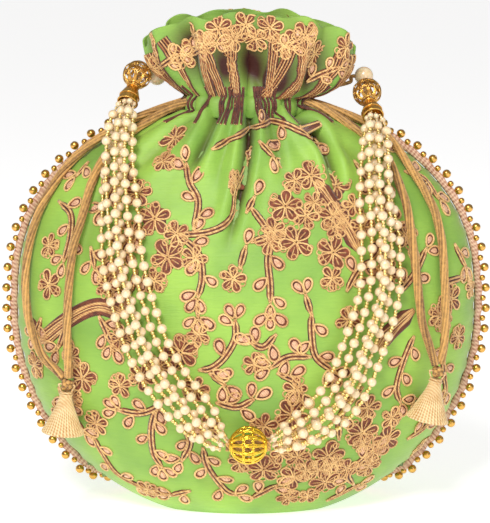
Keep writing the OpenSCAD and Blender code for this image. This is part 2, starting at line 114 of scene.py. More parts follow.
class Shape:
    """Collects vertices, faces and a tone (0 dark to 1 light) at each vertex; the tone carries both
    colour variation and painted shade in folds, grooves and valleys.
    """

    def __init__(self):
        self.verts, self.faces, self.tones, self.count = [], [], [], 0

    def add(self, verts, faces, tone=0.5):
        verts = np.asarray(verts, float).reshape(-1, 3)
        self.verts.append(verts)
        self.tones.append(np.broadcast_to(np.asarray(tone, float).ravel(), (len(verts),)))
        self.faces += [[i + self.count for i in f] for f in faces]
        self.count += len(verts)

    def grid(self, rows, wrap=False, ends=False, loop=False, tone=0.5):
        """A grid of points; wrap closes each row, ends caps the first and last, loop joins them."""
        m, n = rows.shape[:2]
        faces = grid_faces(m, n, wrap, loop).tolist()
        if ends:
            faces += [list(range(n))[::-1], [(m - 1) * n + q for q in range(n)]]
        self.add(rows, faces, tone)

    def tube(self, line, radius, sides=8, closed=False, tone=0.5, flat=1.0, up=None):
        """A tube along a line, with one radius or one for each point; flat squeezes it along up."""
        line = np.asarray(line, float)
        t, u, v = line_frames(line)
        if up is not None:
            v = unit(up - t * (up * t).sum(1, keepdims=True))
            u = np.cross(v, t)
        r = np.broadcast_to(np.asarray(radius, float).ravel(), (len(line),))[:, None, None]
        a = round_angles(sides)[None, :, None]
        rows = line[:, None] + r * (np.cos(a) * u[:, None] + flat * np.sin(a) * v[:, None])
        tones = np.repeat(np.broadcast_to(np.asarray(tone, float).ravel(), (len(line),)), sides)
        self.grid(rows, wrap=True, ends=not closed, loop=closed, tone=tones)

    def sheet(self, grid, thickness, wrap=False, tone=0.5):
        """A closed sheet: the grid outside, a copy set in by thickness, and its edges."""
        m, n = grid.shape[:2]
        if wrap:
            across = np.roll(grid, -1, 1) - np.roll(grid, 1, 1)
        else:
            across = np.gradient(grid, axis=1)
        normal = unit(np.cross(across, np.gradient(grid, axis=0)))
        inner = grid - normal * thickness
        last = m * n
        out = grid_faces(m, n, wrap)
        faces = out.tolist() + (out[:, ::-1] + last).tolist()
        for row, flip in ((0, 1), (m - 1, -1)):
            for q in range(n if wrap else n - 1):
                a, b = row * n + q, row * n + (q + 1) % n
                faces.append([a, last + a, last + b, b][::flip])
        if not wrap:
            for col, flip in ((0, -1), (n - 1, 1)):
                for q in range(m - 1):
                    a, b = q * n + col, (q + 1) * n + col
                    faces.append([a, last + a, last + b, b][::flip])
        tones = np.broadcast_to(np.asarray(tone, float), (m, n))
        self.add(np.concatenate([grid.reshape(-1, 3), inner.reshape(-1, 3)]), faces,
                 np.concatenate([tones.ravel(), tones.ravel()]))

    def lathe(self, outline, at, axis, sides, ribs=0, rib_depth=0.0):
        """Turns a closed outline of (radius, distance) about an axis; ribs run along it."""
        outline = np.array(outline, float)
        x, y, z = frame_on(axis, [0.1, 1, 0.2])
        a = round_angles(sides)[None]
        r = outline[:, :1] * (1 - rib_depth * (0.5 + 0.5 * np.cos(ribs * a)))
        rows = (np.array(at, float) + r[..., None] * (np.cos(a)[..., None] * x + np.sin(a)[..., None] * y)
                + outline[:, 1][:, None, None] * z)
        # With ribs, the tone is dark in the rib grooves and light on the ridges: painted shade and light
        # on the ribs.
        tones = 0.5 - 0.5 * np.cos(ribs * a) + 0 * r if ribs else np.full(r.shape[:1] + (sides,), 0.5)
        rows, tones = np.concatenate([rows, rows[:1]]), np.concatenate([tones, tones[:1]])
        self.grid(rows, wrap=True, tone=tones)

    def stamp(self, pattern, places, sizes, tones, turns=None):
        """Copies of a pattern (vertices, faces) at the places, with sizes and rotation matrices."""
        base, faces = pattern
        for q, (p, s) in enumerate(zip(places, sizes)):
            v = base * s if turns is None else (base * s) @ turns[q].T
            self.add(v + p, faces, tones[q])


def make(name, shape, material, body, replaces=(), weld=False, extra=None):
    """Turns a Shape into a piece that rides on a body; extra is another (shape, material) in it."""
    mesh = bpy.data.meshes.new(name)
    first = len(shape.faces)
    if extra:
        shape.faces += [[i + shape.count for i in f] for f in extra[0].faces]
        shape.verts, shape.tones = shape.verts + extra[0].verts, shape.tones + extra[0].tones
    verts = np.concatenate(shape.verts) * MM
    mesh.from_pydata(verts.tolist(), [], shape.faces)
    mesh.attributes.new("tone", "FLOAT", "POINT").data.foreach_set(
        "value", np.concatenate(shape.tones).astype(np.float32))
    if weld:
        b = bmesh.new()
        b.from_mesh(mesh)
        bmesh.ops.remove_doubles(b, verts=b.verts, dist=1e-7)
        bmesh.ops.recalc_face_normals(b, faces=b.faces)
        b.to_mesh(mesh)
        b.free()
    mesh.polygons.foreach_set("use_smooth", [True] * len(mesh.polygons))
    mesh.materials.append(material)
    if extra:
        mesh.materials.append(extra[1])
        mesh.polygons.foreach_set("material_index", [int(i >= first) for i in range(len(mesh.polygons))])
    mesh.update()
    obj = bpy.data.objects.new(name, mesh)
    bpy.context.scene.collection.objects.link(obj)
    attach(obj, body)
    if replaces:
        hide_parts(*replaces)
    return obj


def icosphere(level):
    b = bmesh.new()
    bmesh.ops.create_icosphere(b, subdivisions=level, radius=1)
    out = np.array([v.co for v in b.verts]), [[v.index for v in f.verts] for f in b.faces]
    b.free()
    return out


def turn_to(axis):
    """Rotation matrix that takes +Z to the axis."""
    return np.array(Vector((0, 0, 1)).rotation_difference(Vector(axis)).to_matrix())


# ---------- Materials ----------

def srgb(r, g, b):
    def channel(c):
        c /= 255
        return c / 12.92 if c <= 0.04045 else ((c + 0.055) / 1.055) ** 2.4
    return channel(r), channel(g), channel(b), 1.0


class Paint:
    """A procedural material round one Principled shader."""

    def __init__(self, name, rough, metal=0.0, **sockets):
        self.material = bpy.data.materials.new(name)
        self.material.use_nodes = True
        self.tree = self.material.node_tree
        self.shader = self.tree.nodes["Principled BSDF"]
        self.shader.inputs["Roughness"].default_value = rough
        self.shader.inputs["Metallic"].default_value = metal
        for key, value in sockets.items():
            self.shader.inputs[key.replace("_", " ")].default_value = value
        self.place = self.tree.nodes.new("ShaderNodeTexCoord").outputs["Object"]
        self.height = None

    def plug(self, socket, value):
        if isinstance(value, bpy.types.NodeSocket):
            self.tree.links.new(value, socket)
        else:
            socket.default_value = value

    def node(self, kind, out=0, settings=(), **inputs):
        n = self.tree.nodes.new("ShaderNode" + kind)
        for key, value in dict(settings).items():
            setattr(n, key, value)
        for key, value in inputs.items():
            self.plug(n.inputs[int(key[1:])] if key in ("i0", "i1") else n.inputs[key], value)
        return n.outputs[out]

    def stretched(self, x, y, z):
        return self.node("Mapping", Vector=self.place, Scale=(x, y, z))

    def noise(self, scale, detail=2.0, place=None):
        return self.node("TexNoise", Vector=place or self.place, Scale=scale, Detail=detail)

    def waves(self, scale, direction):
        return self.node("TexWave", 1, {"bands_direction": direction}, Vector=self.place, Scale=scale,
                         Detail=1.0)

    def math(self, operation, a, b=0.0):
        return self.node("Math", 0, {"operation": operation}, i0=a, i1=b)

    def mix(self, share, a, b):
        n = self.tree.nodes.new("ShaderNodeMix")
        n.data_type = "RGBA"
        for socket, value in ((n.inputs[0], share), (n.inputs[6], a), (n.inputs[7], b)):
            self.plug(socket, value)
        return n.outputs[2]

    def tone(self):
        return self.node("Attribute", 2, {"attribute_name": "tone"})

    def ramp(self, value, low, high):
        return self.node("MapRange", Value=value, **{"From Min": low, "From Max": high})

    def colour(self, socket):
        self.tree.links.new(socket, self.shader.inputs["Base Color"])

    def bump(self, socket, distance, strength=1.0):
        inputs = {"Strength": strength, "Distance": distance, "Height": socket}
        if self.height is not None:
            inputs["Normal"] = self.height
        self.height = self.node("Bump", **inputs)
        self.tree.links.new(self.height, self.shader.inputs["Normal"])


def silk_material(name, light, shade, deep):
    p = Paint(name, 0.46, Sheen_Weight=0.25, Sheen_Roughness=0.35, Specular_IOR_Level=0.35)
    # light and shade are lit and shaded copies of the green; the cloud noise mixes in mottled patches of
    # painted shade, and the slub adds streaks of the weave toward the shade colour.
    cloud = p.ramp(p.noise(28.0, 3.0), 0.35, 0.65)
    slub = p.ramp(p.noise(1.0, 2.0, p.stretched(160, 160, 1400)), 0.3, 0.7)
    base = p.mix(p.math("MULTIPLY", cloud, 0.7), light, shade)
    base = p.mix(p.math("MULTIPLY", slub, 0.16), base, shade)
    # Painted shade: where the tone attribute is low (creases, pleat valleys, folds) the silk is darkened
    # toward deep, a dark maroon shade colour; in the ruffle it also stands partly for brown stitching in
    # the folds.
    p.colour(p.mix(p.ramp(p.tone(), 0.5, 0.0), base, deep))
    weave = p.math("ADD", p.waves(560, "X"), p.waves(560, "Z"))
    p.bump(weave, 0.00005, 0.5)
    p.bump(slub, 0.00012, 0.5)
    return p.material


def thread_material(name, light, dark, rough, fine):
    p = Paint(name, rough, Sheen_Weight=0.3, Sheen_Roughness=0.4)
    twist = p.node("TexWave", 1, {"bands_direction": "DIAGONAL"}, Vector=p.place, Scale=fine / 4,
                   Distortion=3.0, Detail=2.0)
    patch = p.ramp(p.noise(fine / 6, 3.0), 0.3, 0.7)
    share = p.math("MULTIPLY", p.math("ADD", twist, patch), 0.5)
    # Half of the mix comes from the tone attribute, which holds painted shade in rib and rope grooves as
    # well as colour variation.
    share = p.math("ADD", p.math("MULTIPLY", share, 0.5), p.math("MULTIPLY", p.tone(), 0.5))
    p.colour(p.mix(p.ramp(share, 0.15, 0.8), dark, light))
    p.bump(twist, 0.00015, 0.6)
    return p.material


def metal_material(name, colour, rough):
    p = Paint(name, rough, 1.0, Coat_Weight=0.15)
    worn = p.ramp(p.noise(700, 3.0), 0.35, 0.7)
    darker = tuple(c * 0.55 for c in colour[:3]) + (1,)
    p.colour(p.mix(p.math("MULTIPLY", worn, 0.45), colour, darker))
    p.bump(p.noise(1500, 2.0), 0.00008, 0.35)
    return p.material


def pearl_material():
    p = Paint("pearl_lustre", 0.24, Coat_Weight=0.7, Coat_Roughness=0.12, Sheen_Weight=0.2,
              Subsurface_Weight=0.12, Subsurface_Scale=0.001)
    facing = p.node("LayerWeight", 1, Blend=0.35)
    cloud = p.ramp(p.noise(500, 2.0), 0.35, 0.65)
    cream = p.mix(cloud, srgb(250, 230, 192), srgb(238, 208, 160))
    # Painted shade at the rim: the cream darkens to warm brown where the pearl turns away from the
    # camera, partly also the pearl's own warm edge tint.
    p.colour(p.mix(p.math("MULTIPLY", facing, 0.5), cream, srgb(190, 146, 98)))
    p.bump(p.noise(900, 2.0), 0.00004, 0.3)
    return p.material


SILK = silk_material("green_silk", srgb(162, 203, 84), srgb(116, 160, 72), srgb(62, 22, 14))
LINING = silk_material("lining_cloth", srgb(150, 184, 96), srgb(120, 152, 78), srgb(52, 62, 30))
TAPE = thread_material("seam_satin", srgb(236, 196, 164), srgb(160, 98, 74), 0.4, 1400)
GOLD = metal_material("gold_bead", srgb(232, 180, 92), 0.28)
SEED_GOLD = metal_material("seed_gold", srgb(255, 226, 150), 0.3)
BRIGHT_GOLD = metal_material("gold_filigree", srgb(255, 214, 70), 0.18)
PEARL = pearl_material()
OUTLINE = thread_material("gold_outline", srgb(248, 206, 136), srgb(160, 92, 44), 0.4, 1800)
# Dark brown stitching; its pieces also hold painted shadow round the raised cords, where they spread past
# them.
BROWN = thread_material("brown_stitching_and_shadow", srgb(164, 86, 54), srgb(48, 14, 8), 0.6, 3000)
SATIN = thread_material("satin_stitch", srgb(244, 200, 160), srgb(176, 104, 70), 0.38, 2000)
CORD = thread_material("gold_cord", srgb(232, 178, 100), srgb(72, 34, 12), 0.5, 3400)
BROCADE = thread_material("tassel_brocade", srgb(250, 226, 172), srgb(196, 138, 70), 0.34, 1200)
TASSEL_LINING = thread_material("tassel_lining", srgb(250, 238, 214), srgb(206, 170, 122), 0.5, 900)


# ---------- Shape of the bag, as in the CAD (millimetres) ----------

BODY_HALF_W, WIDEST_Z, NECK_Z = 109.5, 93.0, 190.0
FRONT_DEPTH, BACK_DEPTH, DEEPEST_Z = 58.0, 50.0, 70.0
BASE_HALF_W, BASE_FRONT_Y, BASE_BACK_Y = 50.0, 30.0, 28.0
NECK_HALF_W, NECK_FRONT_Y, NECK_BACK_Y = 28.0, 17.0, 15.0
SEAM_LOW_Z, SEAM_SIDE_Z, FRONT_LIFT, LIFT_END_Z = 5.0, 18.0, 22.0, 45.0
BACK_START_Z = 5.7
LENS_POWER, FLAT_FROM, SEAM_GAP = 1.05, 0.745, 0.2


def low_part(r, r_base, z, z_mid):
    return r * np.sqrt(1 - (1 - (r_base / r) ** 2) * ((z_mid - z) / z_mid) ** 2)


def high_part(r, r_neck, z, z_mid, n, m):
    share = np.maximum(0, (z - z_mid) / (NECK_Z - z_mid))
    return r_neck + (r - r_neck) * np.maximum(0, 1 - share ** n) ** m


def half_w(z):
    return np.where(z < WIDEST_Z, low_part(BODY_HALF_W, BASE_HALF_W, np.minimum(z, WIDEST_Z), WIDEST_Z),
                    high_part(BODY_HALF_W, NECK_HALF_W, z, WIDEST_Z, 2.7, 0.714))


def depth_at(z, deep, base_y, neck_y):
    return np.where(z < DEEPEST_Z, low_part(deep, base_y, np.minimum(z, DEEPEST_Z), DEEPEST_Z),
                    high_part(deep, neck_y, z, DEEPEST_Z, 2, 0.833))


def back_y(z):
    return depth_at(z, BACK_DEPTH, BASE_BACK_Y, NECK_BACK_Y)


SEAM_Y = float(back_y(np.array(SEAM_LOW_Z)))


def skin_points(yp, zp, zs, a, turn):
    """Points of a panel's row through the profile point (yp, zp), at the angles a across."""
    s = np.sin(a)
    z = zs + (zp - zs) * (1 - (1 - np.minimum(1, s / FLAT_FROM)) ** 1.6)
    return np.stack([half_w(z) * np.cos(a), yp * np.maximum(s, 0) ** LENS_POWER - turn * SEAM_GAP, z], -1)


def panel_rows(side):
    """Profile y, profile z and side seam z of a panel's rows; side is -1 in front, 1 behind."""
    t = np.linspace(0, 1, 150)
    if side > 0:
        z = BACK_START_Z + (NECK_Z - BACK_START_Z) * (1 - np.cos(math.pi * t)) / 2
        lift = SEAM_SIDE_Z + 0.7 - BACK_START_Z
        return back_y(z), z, z + lift * np.maximum(0, 1 - (z - BACK_START_Z) / LIFT_END_Z) ** 2
    base = np.array([[SEAM_Y, 5, 18], [SEAM_Y - 3, 1.5, 18.5], [SEAM_Y - 7, 0, 19], [8, 0, 20],
                     [-11, 0, 21], [-BASE_FRONT_Y, 0, FRONT_LIFT]])
    at = np.concatenate([[0, 0.5, 1, 1.5], np.linspace(2, 5, 14)])
    under = np.stack([np.interp(at, range(6), base[:, k]) for k in range(3)], 1)
    z = NECK_Z * (1 - np.cos(math.pi * t[1:])) / 2
    up = np.stack([-depth_at(z, FRONT_DEPTH, BASE_FRONT_Y, NECK_FRONT_Y), z,
                   z + FRONT_LIFT * np.maximum(0, 1 - z / LIFT_END_Z) ** 2], 1)
    return np.concatenate([under, up]).T


def pleats(angle):
    """Sharp valleys and round ridges of the gathered neck, zero at the two side seams."""
    wander = angle + 0.05 * np.sin(5 * angle + 1) + 0.04 * np.sin(9 * angle + 2)
    ridge = np.abs(np.sin(10 * wander)) ** 0.7
    return (ridge - 0.62) * smooth_step(np.abs(np.sin(angle)) / 0.3)


def distance_to(points, x, z):
    """Distance of (x, z) from a given line, and how far along it the nearest place is (0 to 1)."""
    line = curve_through(points, 1.5)
    d = np.hypot(x[..., None] - line[:, 0], z[..., None] - line[:, 1])
    i = d.argmin(-1)
    return np.take_along_axis(d, i[..., None], -1)[..., 0], i / (len(line) - 1)


# Creases of the front and back as (x, z) lines with depth and width, from the neck downwards
FRONT_CREASES = [
    ([(2, 190), (1, 176), (-1, 162), (-6, 142), (-10, 126)], 5.2, 2.6),
    ([(-13, 190), (-17, 182), (-22, 172), (-29, 160)], 4.2, 2.6),
    ([(22, 190), (30, 182), (37, 173), (41, 160), (43, 146)], 5.0, 2.6),
    ([(10, 190), (13, 178), (16, 166), (17, 156)], 2.0, 2.6),
    ([(-24, 187), (-34, 179), (-46, 169), (-56, 158)], 1.8, 3.4),
    ([(-5, 189), (-8, 178), (-12, 166), (-14, 154)], 1.6, 2.4),
    ([(30, 184), (44, 175), (57, 166), (68, 154)], 1.6, 3.6),
    ([(-66, 150), (-74, 132), (-77, 112)], 1.0, 5.0),
    ([(66, 140), (74, 122), (78, 104)], 1.0, 5.0),
    ([(-30, 26), (-14, 18), (6, 17), (26, 22)], 0.9, 5.0),
    ([(44, 120), (50, 104), (50, 88)], 0.8, 5.0)]
BACK_CREASES = [
    ([(-3, 190), (-2, 174), (2, 156), (4, 138)], 3.0, 3.2),
    ([(14, 190), (20, 178), (28, 164), (34, 150)], 2.8, 3.2),
    ([(-16, 190), (-24, 178), (-33, 164), (-38, 150)], 2.8, 3.2),
    ([(26, 186), (40, 176), (54, 164), (64, 150)], 1.8, 3.6),
    ([(-26, 186), (-42, 176), (-58, 162), (-68, 148)], 1.8, 3.6),
    ([(50, 120), (58, 100), (56, 80)], 1.0, 5.0),
    ([(-50, 118), (-58, 98), (-55, 78)], 1.0, 5.0),
    ([(-24, 24), (0, 16), (26, 24)], 1.0, 5.0)]


def panel_grid(side, cols=221):
    """The cloth of a panel with its gathers and creases, left to right, bottom seam to neck."""
    yp, zp, zs = (np.asarray(v)[:, None] for v in panel_rows(side))
    a = np.linspace(math.pi, 0, cols)[None, :]
    grid = skin_points(yp, zp, zs, a, -side)
    normal = unit(np.cross(np.gradient(grid, axis=1), np.gradient(grid, axis=0)) * -side)
    normal *= np.sign((normal * (grid - [0, 0, 85])).sum(-1).mean())
    x, z = grid[..., 0], grid[..., 2]
    s = np.sin(a)
    edge = smooth_step(s / 0.22)
    up = NECK_Z - z
    fan = side * a
    move = 2.3 * np.exp(-up / 9) * pleats(fan)
    move += 1.5 * np.exp(-up / 30) * (np.abs(np.sin(6 * fan + 0.7 * np.sin(4 * fan))) ** 0.8 - 0.6) * edge
    for points, depth, width in FRONT_CREASES if side < 0 else BACK_CREASES:
        d, t = distance_to(points, x, z)
        fade = smooth_step((1 - t) / 0.45) * np.where(up < 60, 1, smooth_step(t / 0.3))
        d = np.where((side * grid[..., 1] > -1) & (zp > 1), d, 99)
        move += depth * edge * fade * (0.55 * np.exp(-((d - 2 * width) / (1.2 * width)) ** 2)
                                       - np.exp(-(d / width) ** 2))
    arc = np.arctan2(z - 90, x) * 100
    seam = np.exp(-np.hypot(x - np.sign(x) * half_w(z), grid[..., 1]) / 9) * smooth_step(s / 0.05)
    # dark: how far the creases and gathers push the cloth in, used below for painted shade.
    dark = np.clip(-move, 0, 5)
    move += 0.7 * seam * np.sin(arc / 1.35 + 1.5 * np.sin(arc / 9)) * (z > 12)
    swell = np.sin(x / 17 + 1.3 * np.sin(z / 23)) * np.sin(z / 19 + side + 1.1 * np.sin(x / 29))
    move += 0.7 * swell * edge * smooth_step(z / 25)
    move *= smooth_step((z + 0.5) / 4)
    grid = grid + normal * move[..., None]
    # Painted shade: the silk is darkened in the creases and gathers, and near the side seams where the
    # bag turns away from the light.
    tone = 0.5 - 0.1 * dark - 0.14 * seam
    return grid[:, ::-1] if side > 0 else grid, (tone[:, ::-1] if side > 0 else tone)


# ---------- Drawcord tails (routes as in the CAD, in metres) ----------

LEFT_OUTER = [(-0.029, -0.002, 0.194), (-0.036, -0.0045, 0.192), (-0.048, -0.006, 0.1878),
              (-0.062, -0.0068, 0.1815), (-0.076, -0.0075, 0.172), (-0.086, -0.0095, 0.162),
              (-0.093, -0.0125, 0.1515), (-0.098, -0.015, 0.142), (-0.1015, -0.018, 0.1305),
              (-0.1035, -0.020, 0.119), (-0.104, -0.022, 0.107), (-0.102, -0.026, 0.092),
              (-0.096, -0.033, 0.078), (-0.089, -0.0375, 0.0715), (-0.085, -0.040, 0.068)]
LEFT_INNER = [(-0.0275, -0.0075, 0.194), (-0.035, -0.0095, 0.1915), (-0.046, -0.0115, 0.1853),
              (-0.057, -0.0158, 0.178), (-0.0665, -0.021, 0.1685), (-0.072, -0.027, 0.1575),
              (-0.076, -0.033, 0.143), (-0.080, -0.0365, 0.129), (-0.082, -0.0395, 0.113),
              (-0.083, -0.042, 0.095), (-0.0828, -0.0435, 0.080), (-0.0824, -0.042, 0.0686)]
RIGHT_OUTER = [(0.029, -0.002, 0.194), (0.036, -0.0045, 0.192), (0.048, -0.006, 0.1878),
               (0.060, -0.0068, 0.1825), (0.069, -0.010, 0.1755), (0.077, -0.017, 0.164),
               (0.0835, -0.0208, 0.154), (0.0885, -0.024, 0.1435), (0.0915, -0.028, 0.130),
               (0.0925, -0.032, 0.115), (0.093, -0.036, 0.098), (0.0924, -0.040, 0.086),
               (0.0904, -0.0425, 0.0749)]
RIGHT_INNER = [(0.0275, -0.0075, 0.194), (0.035, -0.0095, 0.1915), (0.046, -0.0115, 0.1853),
               (0.057, -0.0158, 0.178), (0.066, -0.021, 0.169), (0.071, -0.0267, 0.1585),
               (0.0745, -0.0317, 0.148), (0.0765, -0.036, 0.136), (0.079, -0.0405, 0.116),
               (0.0815, -0.0425, 0.0955), (0.085, -0.0445, 0.084), (0.0879, -0.044, 0.0749)]
CORD_D = 4.0
KNOTS = {"left": ((-83.5, -41.3, 65.0), 5.5), "right": ((89.0, -43.2, 71.5), 11.5)}


def rope(shape, line, radius, lobes, turn_length, per_lobe=4, loose=0.0):
    """A soft rope of twisted fibres, each lobe with its own tone, darkened in the grooves between lobes
    as painted shade.
    """
    t, u, v = line_frames(line)
    sides = lobes * per_lobe
    a = round_angles(sides)[None]
    along = lengths_along(line)[:, None]
    turn = 2 * math.pi * along / turn_length
    lobe = np.abs(np.cos(lobes * a / 2)) ** 0.8
    r = radius * (0.78 + 0.22 * lobe) * (1 + loose * np.sin(along / 5 + 2 * a))
    rows = (line[:, None] + r[..., None] * (np.cos(a + turn)[..., None] * u[:, None]
                                            + np.sin(a + turn)[..., None] * v[:, None]))
    shades = rng.uniform(0.0, 0.8, lobes)[(np.arange(sides) + per_lobe // 2) // per_lobe % lobes]
    # Lighter on the crest of each lobe and darker in the grooves between them (painted shade), plus a
    # random tone for each lobe.
    tone = (0.55 * lobe ** 2 + shades[None]) * np.ones_like(along) * 0.85
    shape.grid(rows, wrap=True, ends=True, tone=tone)


# ---------- Knots and tassels ----------

def knot(name, at, side):
    """An overhand knot: a rope that winds round itself as a trefoil."""
    t = round_angles(90)
    line = np.stack([(1.3 + 0.75 * np.cos(3 * t)) * np.cos(2 * t), 0.85 * np.sin(3 * t),
                     (1.3 + 0.75 * np.cos(3 * t)) * np.sin(2 * t)], 1)
    shape = Shape()
    twist = 0.5 + 0.4 * np.sin(14 * t)
    shape.tube(line + np.array(at), 1.05, 10, closed=True, tone=twist)
    return make(name, shape, CORD, f"{side}_drawcord", (f"{side}_cord_knot",))


def tassel(side):
    """The ribbed cone with its curled lip, its hanging loop and its pale lining."""
    at, degrees = KNOTS[side]
    lean = math.radians(degrees)
    down = np.array([-math.sin(lean), 0, -math.cos(lean)])
    across = np.array([math.cos(lean), 0, -math.sin(lean)])
    top = np.array(at) + 2.8 * down
    outer = [(2.2, 0.4), (2.7, 1.6), (3.1, 3.6), (4.1, 7), (5.6, 10.5), (7.2, 14), (8.4, 16.8),
             (9.5, 18.8), (10.0, 19.8), (9.9, 20.35), (9.5, 20.3)]
    inner = [(9.2, 19.6), (8.2, 17.4), (6.9, 14.2), (5.2, 10.6), (3.6, 7), (1.2, 4), (0.9, 1)]
    dense = curve_through(outer, 0.5).tolist()
    cone = Shape()
    cone.lathe(dense + inner, top, down, 144, 36, 0.055)
    a = round_angles(40)[:, None]
    y = np.cross(down, across)
    for d, r in ((0.9, 2.55), (1.9, 2.85)):
        ring = top + d * down + r * (np.cos(a) * across + np.sin(a) * y)
        cone.tube(ring, 0.5, 8, closed=True, tone=0.5 + 0.5 * np.sin(20 * a[:, 0]))
    half = [(2.1, 4.0), (3.2, 1.6), (3.75, 0.3), (3.3, 0)]
    loop = [(-x, d) for x, d in half] + [(0, 0)] + half[::-1]
    loop = np.array(at) + np.array([x * across + d * down for x, d in loop])
    cone.tube(curve_through(loop, 0.4), 0.42, 8, tone=0.4)
    piece = make(f"{side}_tassel_brocade", cone, BROCADE, f"{side}_tassel",
                 (f"{side}_tassel_cone",), weld=True)
    hem = Shape()
    edge = [(8.95, 19.7), (9.0, 20.05), (8.5, 20.0), (7.6, 17.6), (6.3, 14.2), (4.6, 10.6), (3.0, 7.4),
            (3.35, 7.2), (5.0, 10.6), (6.7, 14.2), (8.0, 17.4)]
    hem.lathe(edge, top, down, 96, 24, 0.03)
    inside = make(f"{side}_tassel_lining_cloth", hem, TASSEL_LINING, f"{side}_tassel",
                  (f"{side}_tassel_lining",), weld=True)
    return piece, inside


TAILS = [
    ("left_outer_tail", LEFT_OUTER, "left_drawcord_outer", "left", 0.175, ("left_drawcord_stubs",)),
    ("left_inner_tail", LEFT_INNER, "left_drawcord_inner", "left", 0.158, ()),
    ("right_outer_tail", RIGHT_OUTER, "right_drawcord_outer", "right", 0.153, ("right_drawcord_stubs",)),
    ("right_inner_tail", RIGHT_INNER, "right_drawcord_inner", "right", 0.151, ())]
for side in KNOTS:
    tie = knot(f"{side}_overhand_knot", KNOTS[side][0], side)
    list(tassel(side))
for name, route, node, side, length, stubs in TAILS:
    line = curve_through(np.array(route) / MM, 1.1)
    shape = Shape()
    rope(shape, line, CORD_D / 2 * 1.02, 7, 90, 6, 0.03)
    piece = make(name, shape, CORD, f"{side}_drawcord", (node, *stubs))

# ---------- Handle: two bundles of six strands of pearls ----------

# Strand next to the bag in each bundle, as in the CAD, in metres
LEFT_ROUTE = [(-0.0551, -0.009, 0.1945), (-0.0565, -0.017, 0.1875), (-0.058, -0.0245, 0.1785),
              (-0.0588, -0.0305, 0.1665), (-0.0586, -0.0365, 0.154), (-0.058, -0.0415, 0.1395),
              (-0.057, -0.0465, 0.126), (-0.0545, -0.0505, 0.114), (-0.051, -0.054, 0.102),
              (-0.046, -0.0575, 0.088), (-0.039, -0.0605, 0.075), (-0.030, -0.062, 0.0625),
              (-0.021, -0.0635, 0.0525), (-0.014, -0.065, 0.0455), (-0.0098, -0.065, 0.042)]
RIGHT_ROUTE = [(0.0593, -0.0137, 0.1878), (0.0594, -0.0208, 0.182), (0.0593, -0.0275, 0.1735),
               (0.0594, -0.033, 0.1625), (0.060, -0.038, 0.150), (0.0615, -0.0415, 0.138),
               (0.062, -0.045, 0.127), (0.0615, -0.049, 0.112), (0.0585, -0.053, 0.099),
               (0.0535, -0.056, 0.085), (0.048, -0.0585, 0.071), (0.041, -0.0605, 0.060),
               (0.030, -0.0625, 0.051), (0.018, -0.065, 0.045), (0.0118, -0.065, 0.042)]
SPREAD = np.radians([0, 0, 10, 25, 45, 65, 80, 90, 90, 90, 90, 80, 50, 10, 0])
THICKNESS = np.array([0.5, 0.85] + [1] * 11 + [0.85, 0.5])
STRAND_PITCH, STRAND_CENTRE_Z = 4.9, 80.0
PEARL_PITCH, PEARL_R, SEEDS = 7.5, 2.25, 2
SEED_GAP = (PEARL_PITCH - 2 * PEARL_R) / SEEDS
SEED_R = 0.64 * SEED_GAP
LINE_STEP = 0.4


def strand_line(route, k):
    """Centreline of strand k of a bundle, in millimetres."""
    route = np.array(route) / MM
    s, c = np.sin(SPREAD), np.cos(SPREAD)
    one = np.ones_like(s)
    place = {1: (-1 - s, 0 * s), 2: (0 * s, 0 * s), 3: (1 + s, 0 * s), 4: (-one, c), 5: (0 * s, one),
             6: (one, c)}[k]
    ahead = np.vstack([route[1:], route[-1:]]) - np.vstack([route[:1], route[:-1]])
    t = unit(ahead)
    q = (route - [0, 0, STRAND_CENTRE_Z]) / np.array([BODY_HALF_W ** 2, FRONT_DEPTH ** 2, 116.0 ** 2])
    out = unit(q - (q * t).sum(1, keepdims=True) * t)
    across = np.cross(t, out)
    step = (STRAND_PITCH * THICKNESS)[:, None]
    return curve_through(route + step * (place[0][:, None] * across + place[1][:, None] * out), LINE_STEP)


PEARL_BALL, SEED_BALL = icosphere(3), icosphere(2)


def bead_strand(name, line, node, first):
    """Pearls with gold seeds between them on a thread, the first pearl at a distance from the cap."""
    pearls, seeds = Shape(), Shape()
    along = np.arange(len(line)) * LINE_STEP
    total = along[-1]

    def at(s):
        return np.array([np.interp(s, along, line[:, k]) for k in range(3)])

    seeds.stamp(SEED_BALL, [at(0.4), at(first - 2.2)], [0.9, 0.8], [0.5, 0.5])
    s = first
    while s < total - 1.2:
        share = s / total
        squeeze = 0.55 + 0.45 * smooth_step(np.minimum(share, 1 - share) / 0.07)
        r = PEARL_R * squeeze * rng.uniform(0.95, 1.03)
        pearls.stamp(PEARL_BALL, [at(s)], [r], [0.5])
        for q in range(SEEDS):
            d = s + PEARL_R + SEED_GAP * (q + 0.5)
            if d < total - 0.8:
                seeds.stamp(SEED_BALL, [at(d) + rng.normal(0, 0.12, 3)], [SEED_R * squeeze],
                            [rng.uniform(0.3, 0.8)])
        s += PEARL_PITCH * rng.uniform(0.97, 1.03)
    pearls.tube(line, 0.5, 6, tone=0.5)
    return make(f"{name}_beads", pearls, PEARL, "handle", (node,), extra=(seeds, SEED_GOLD))


for side, route in (("left", LEFT_ROUTE), ("right", RIGHT_ROUTE)):
    for k in range(1, 7):
        line = strand_line(route, k)
        first = 1.6 + 0.6 * (k * 2.4 % 5)
        beads = bead_strand(f"{side}_strand_of_pearls_{k}", line, f"{side}_strand_{k}", first)

# ---------- Handle: end pearls, filigree balls, bells and threads ----------

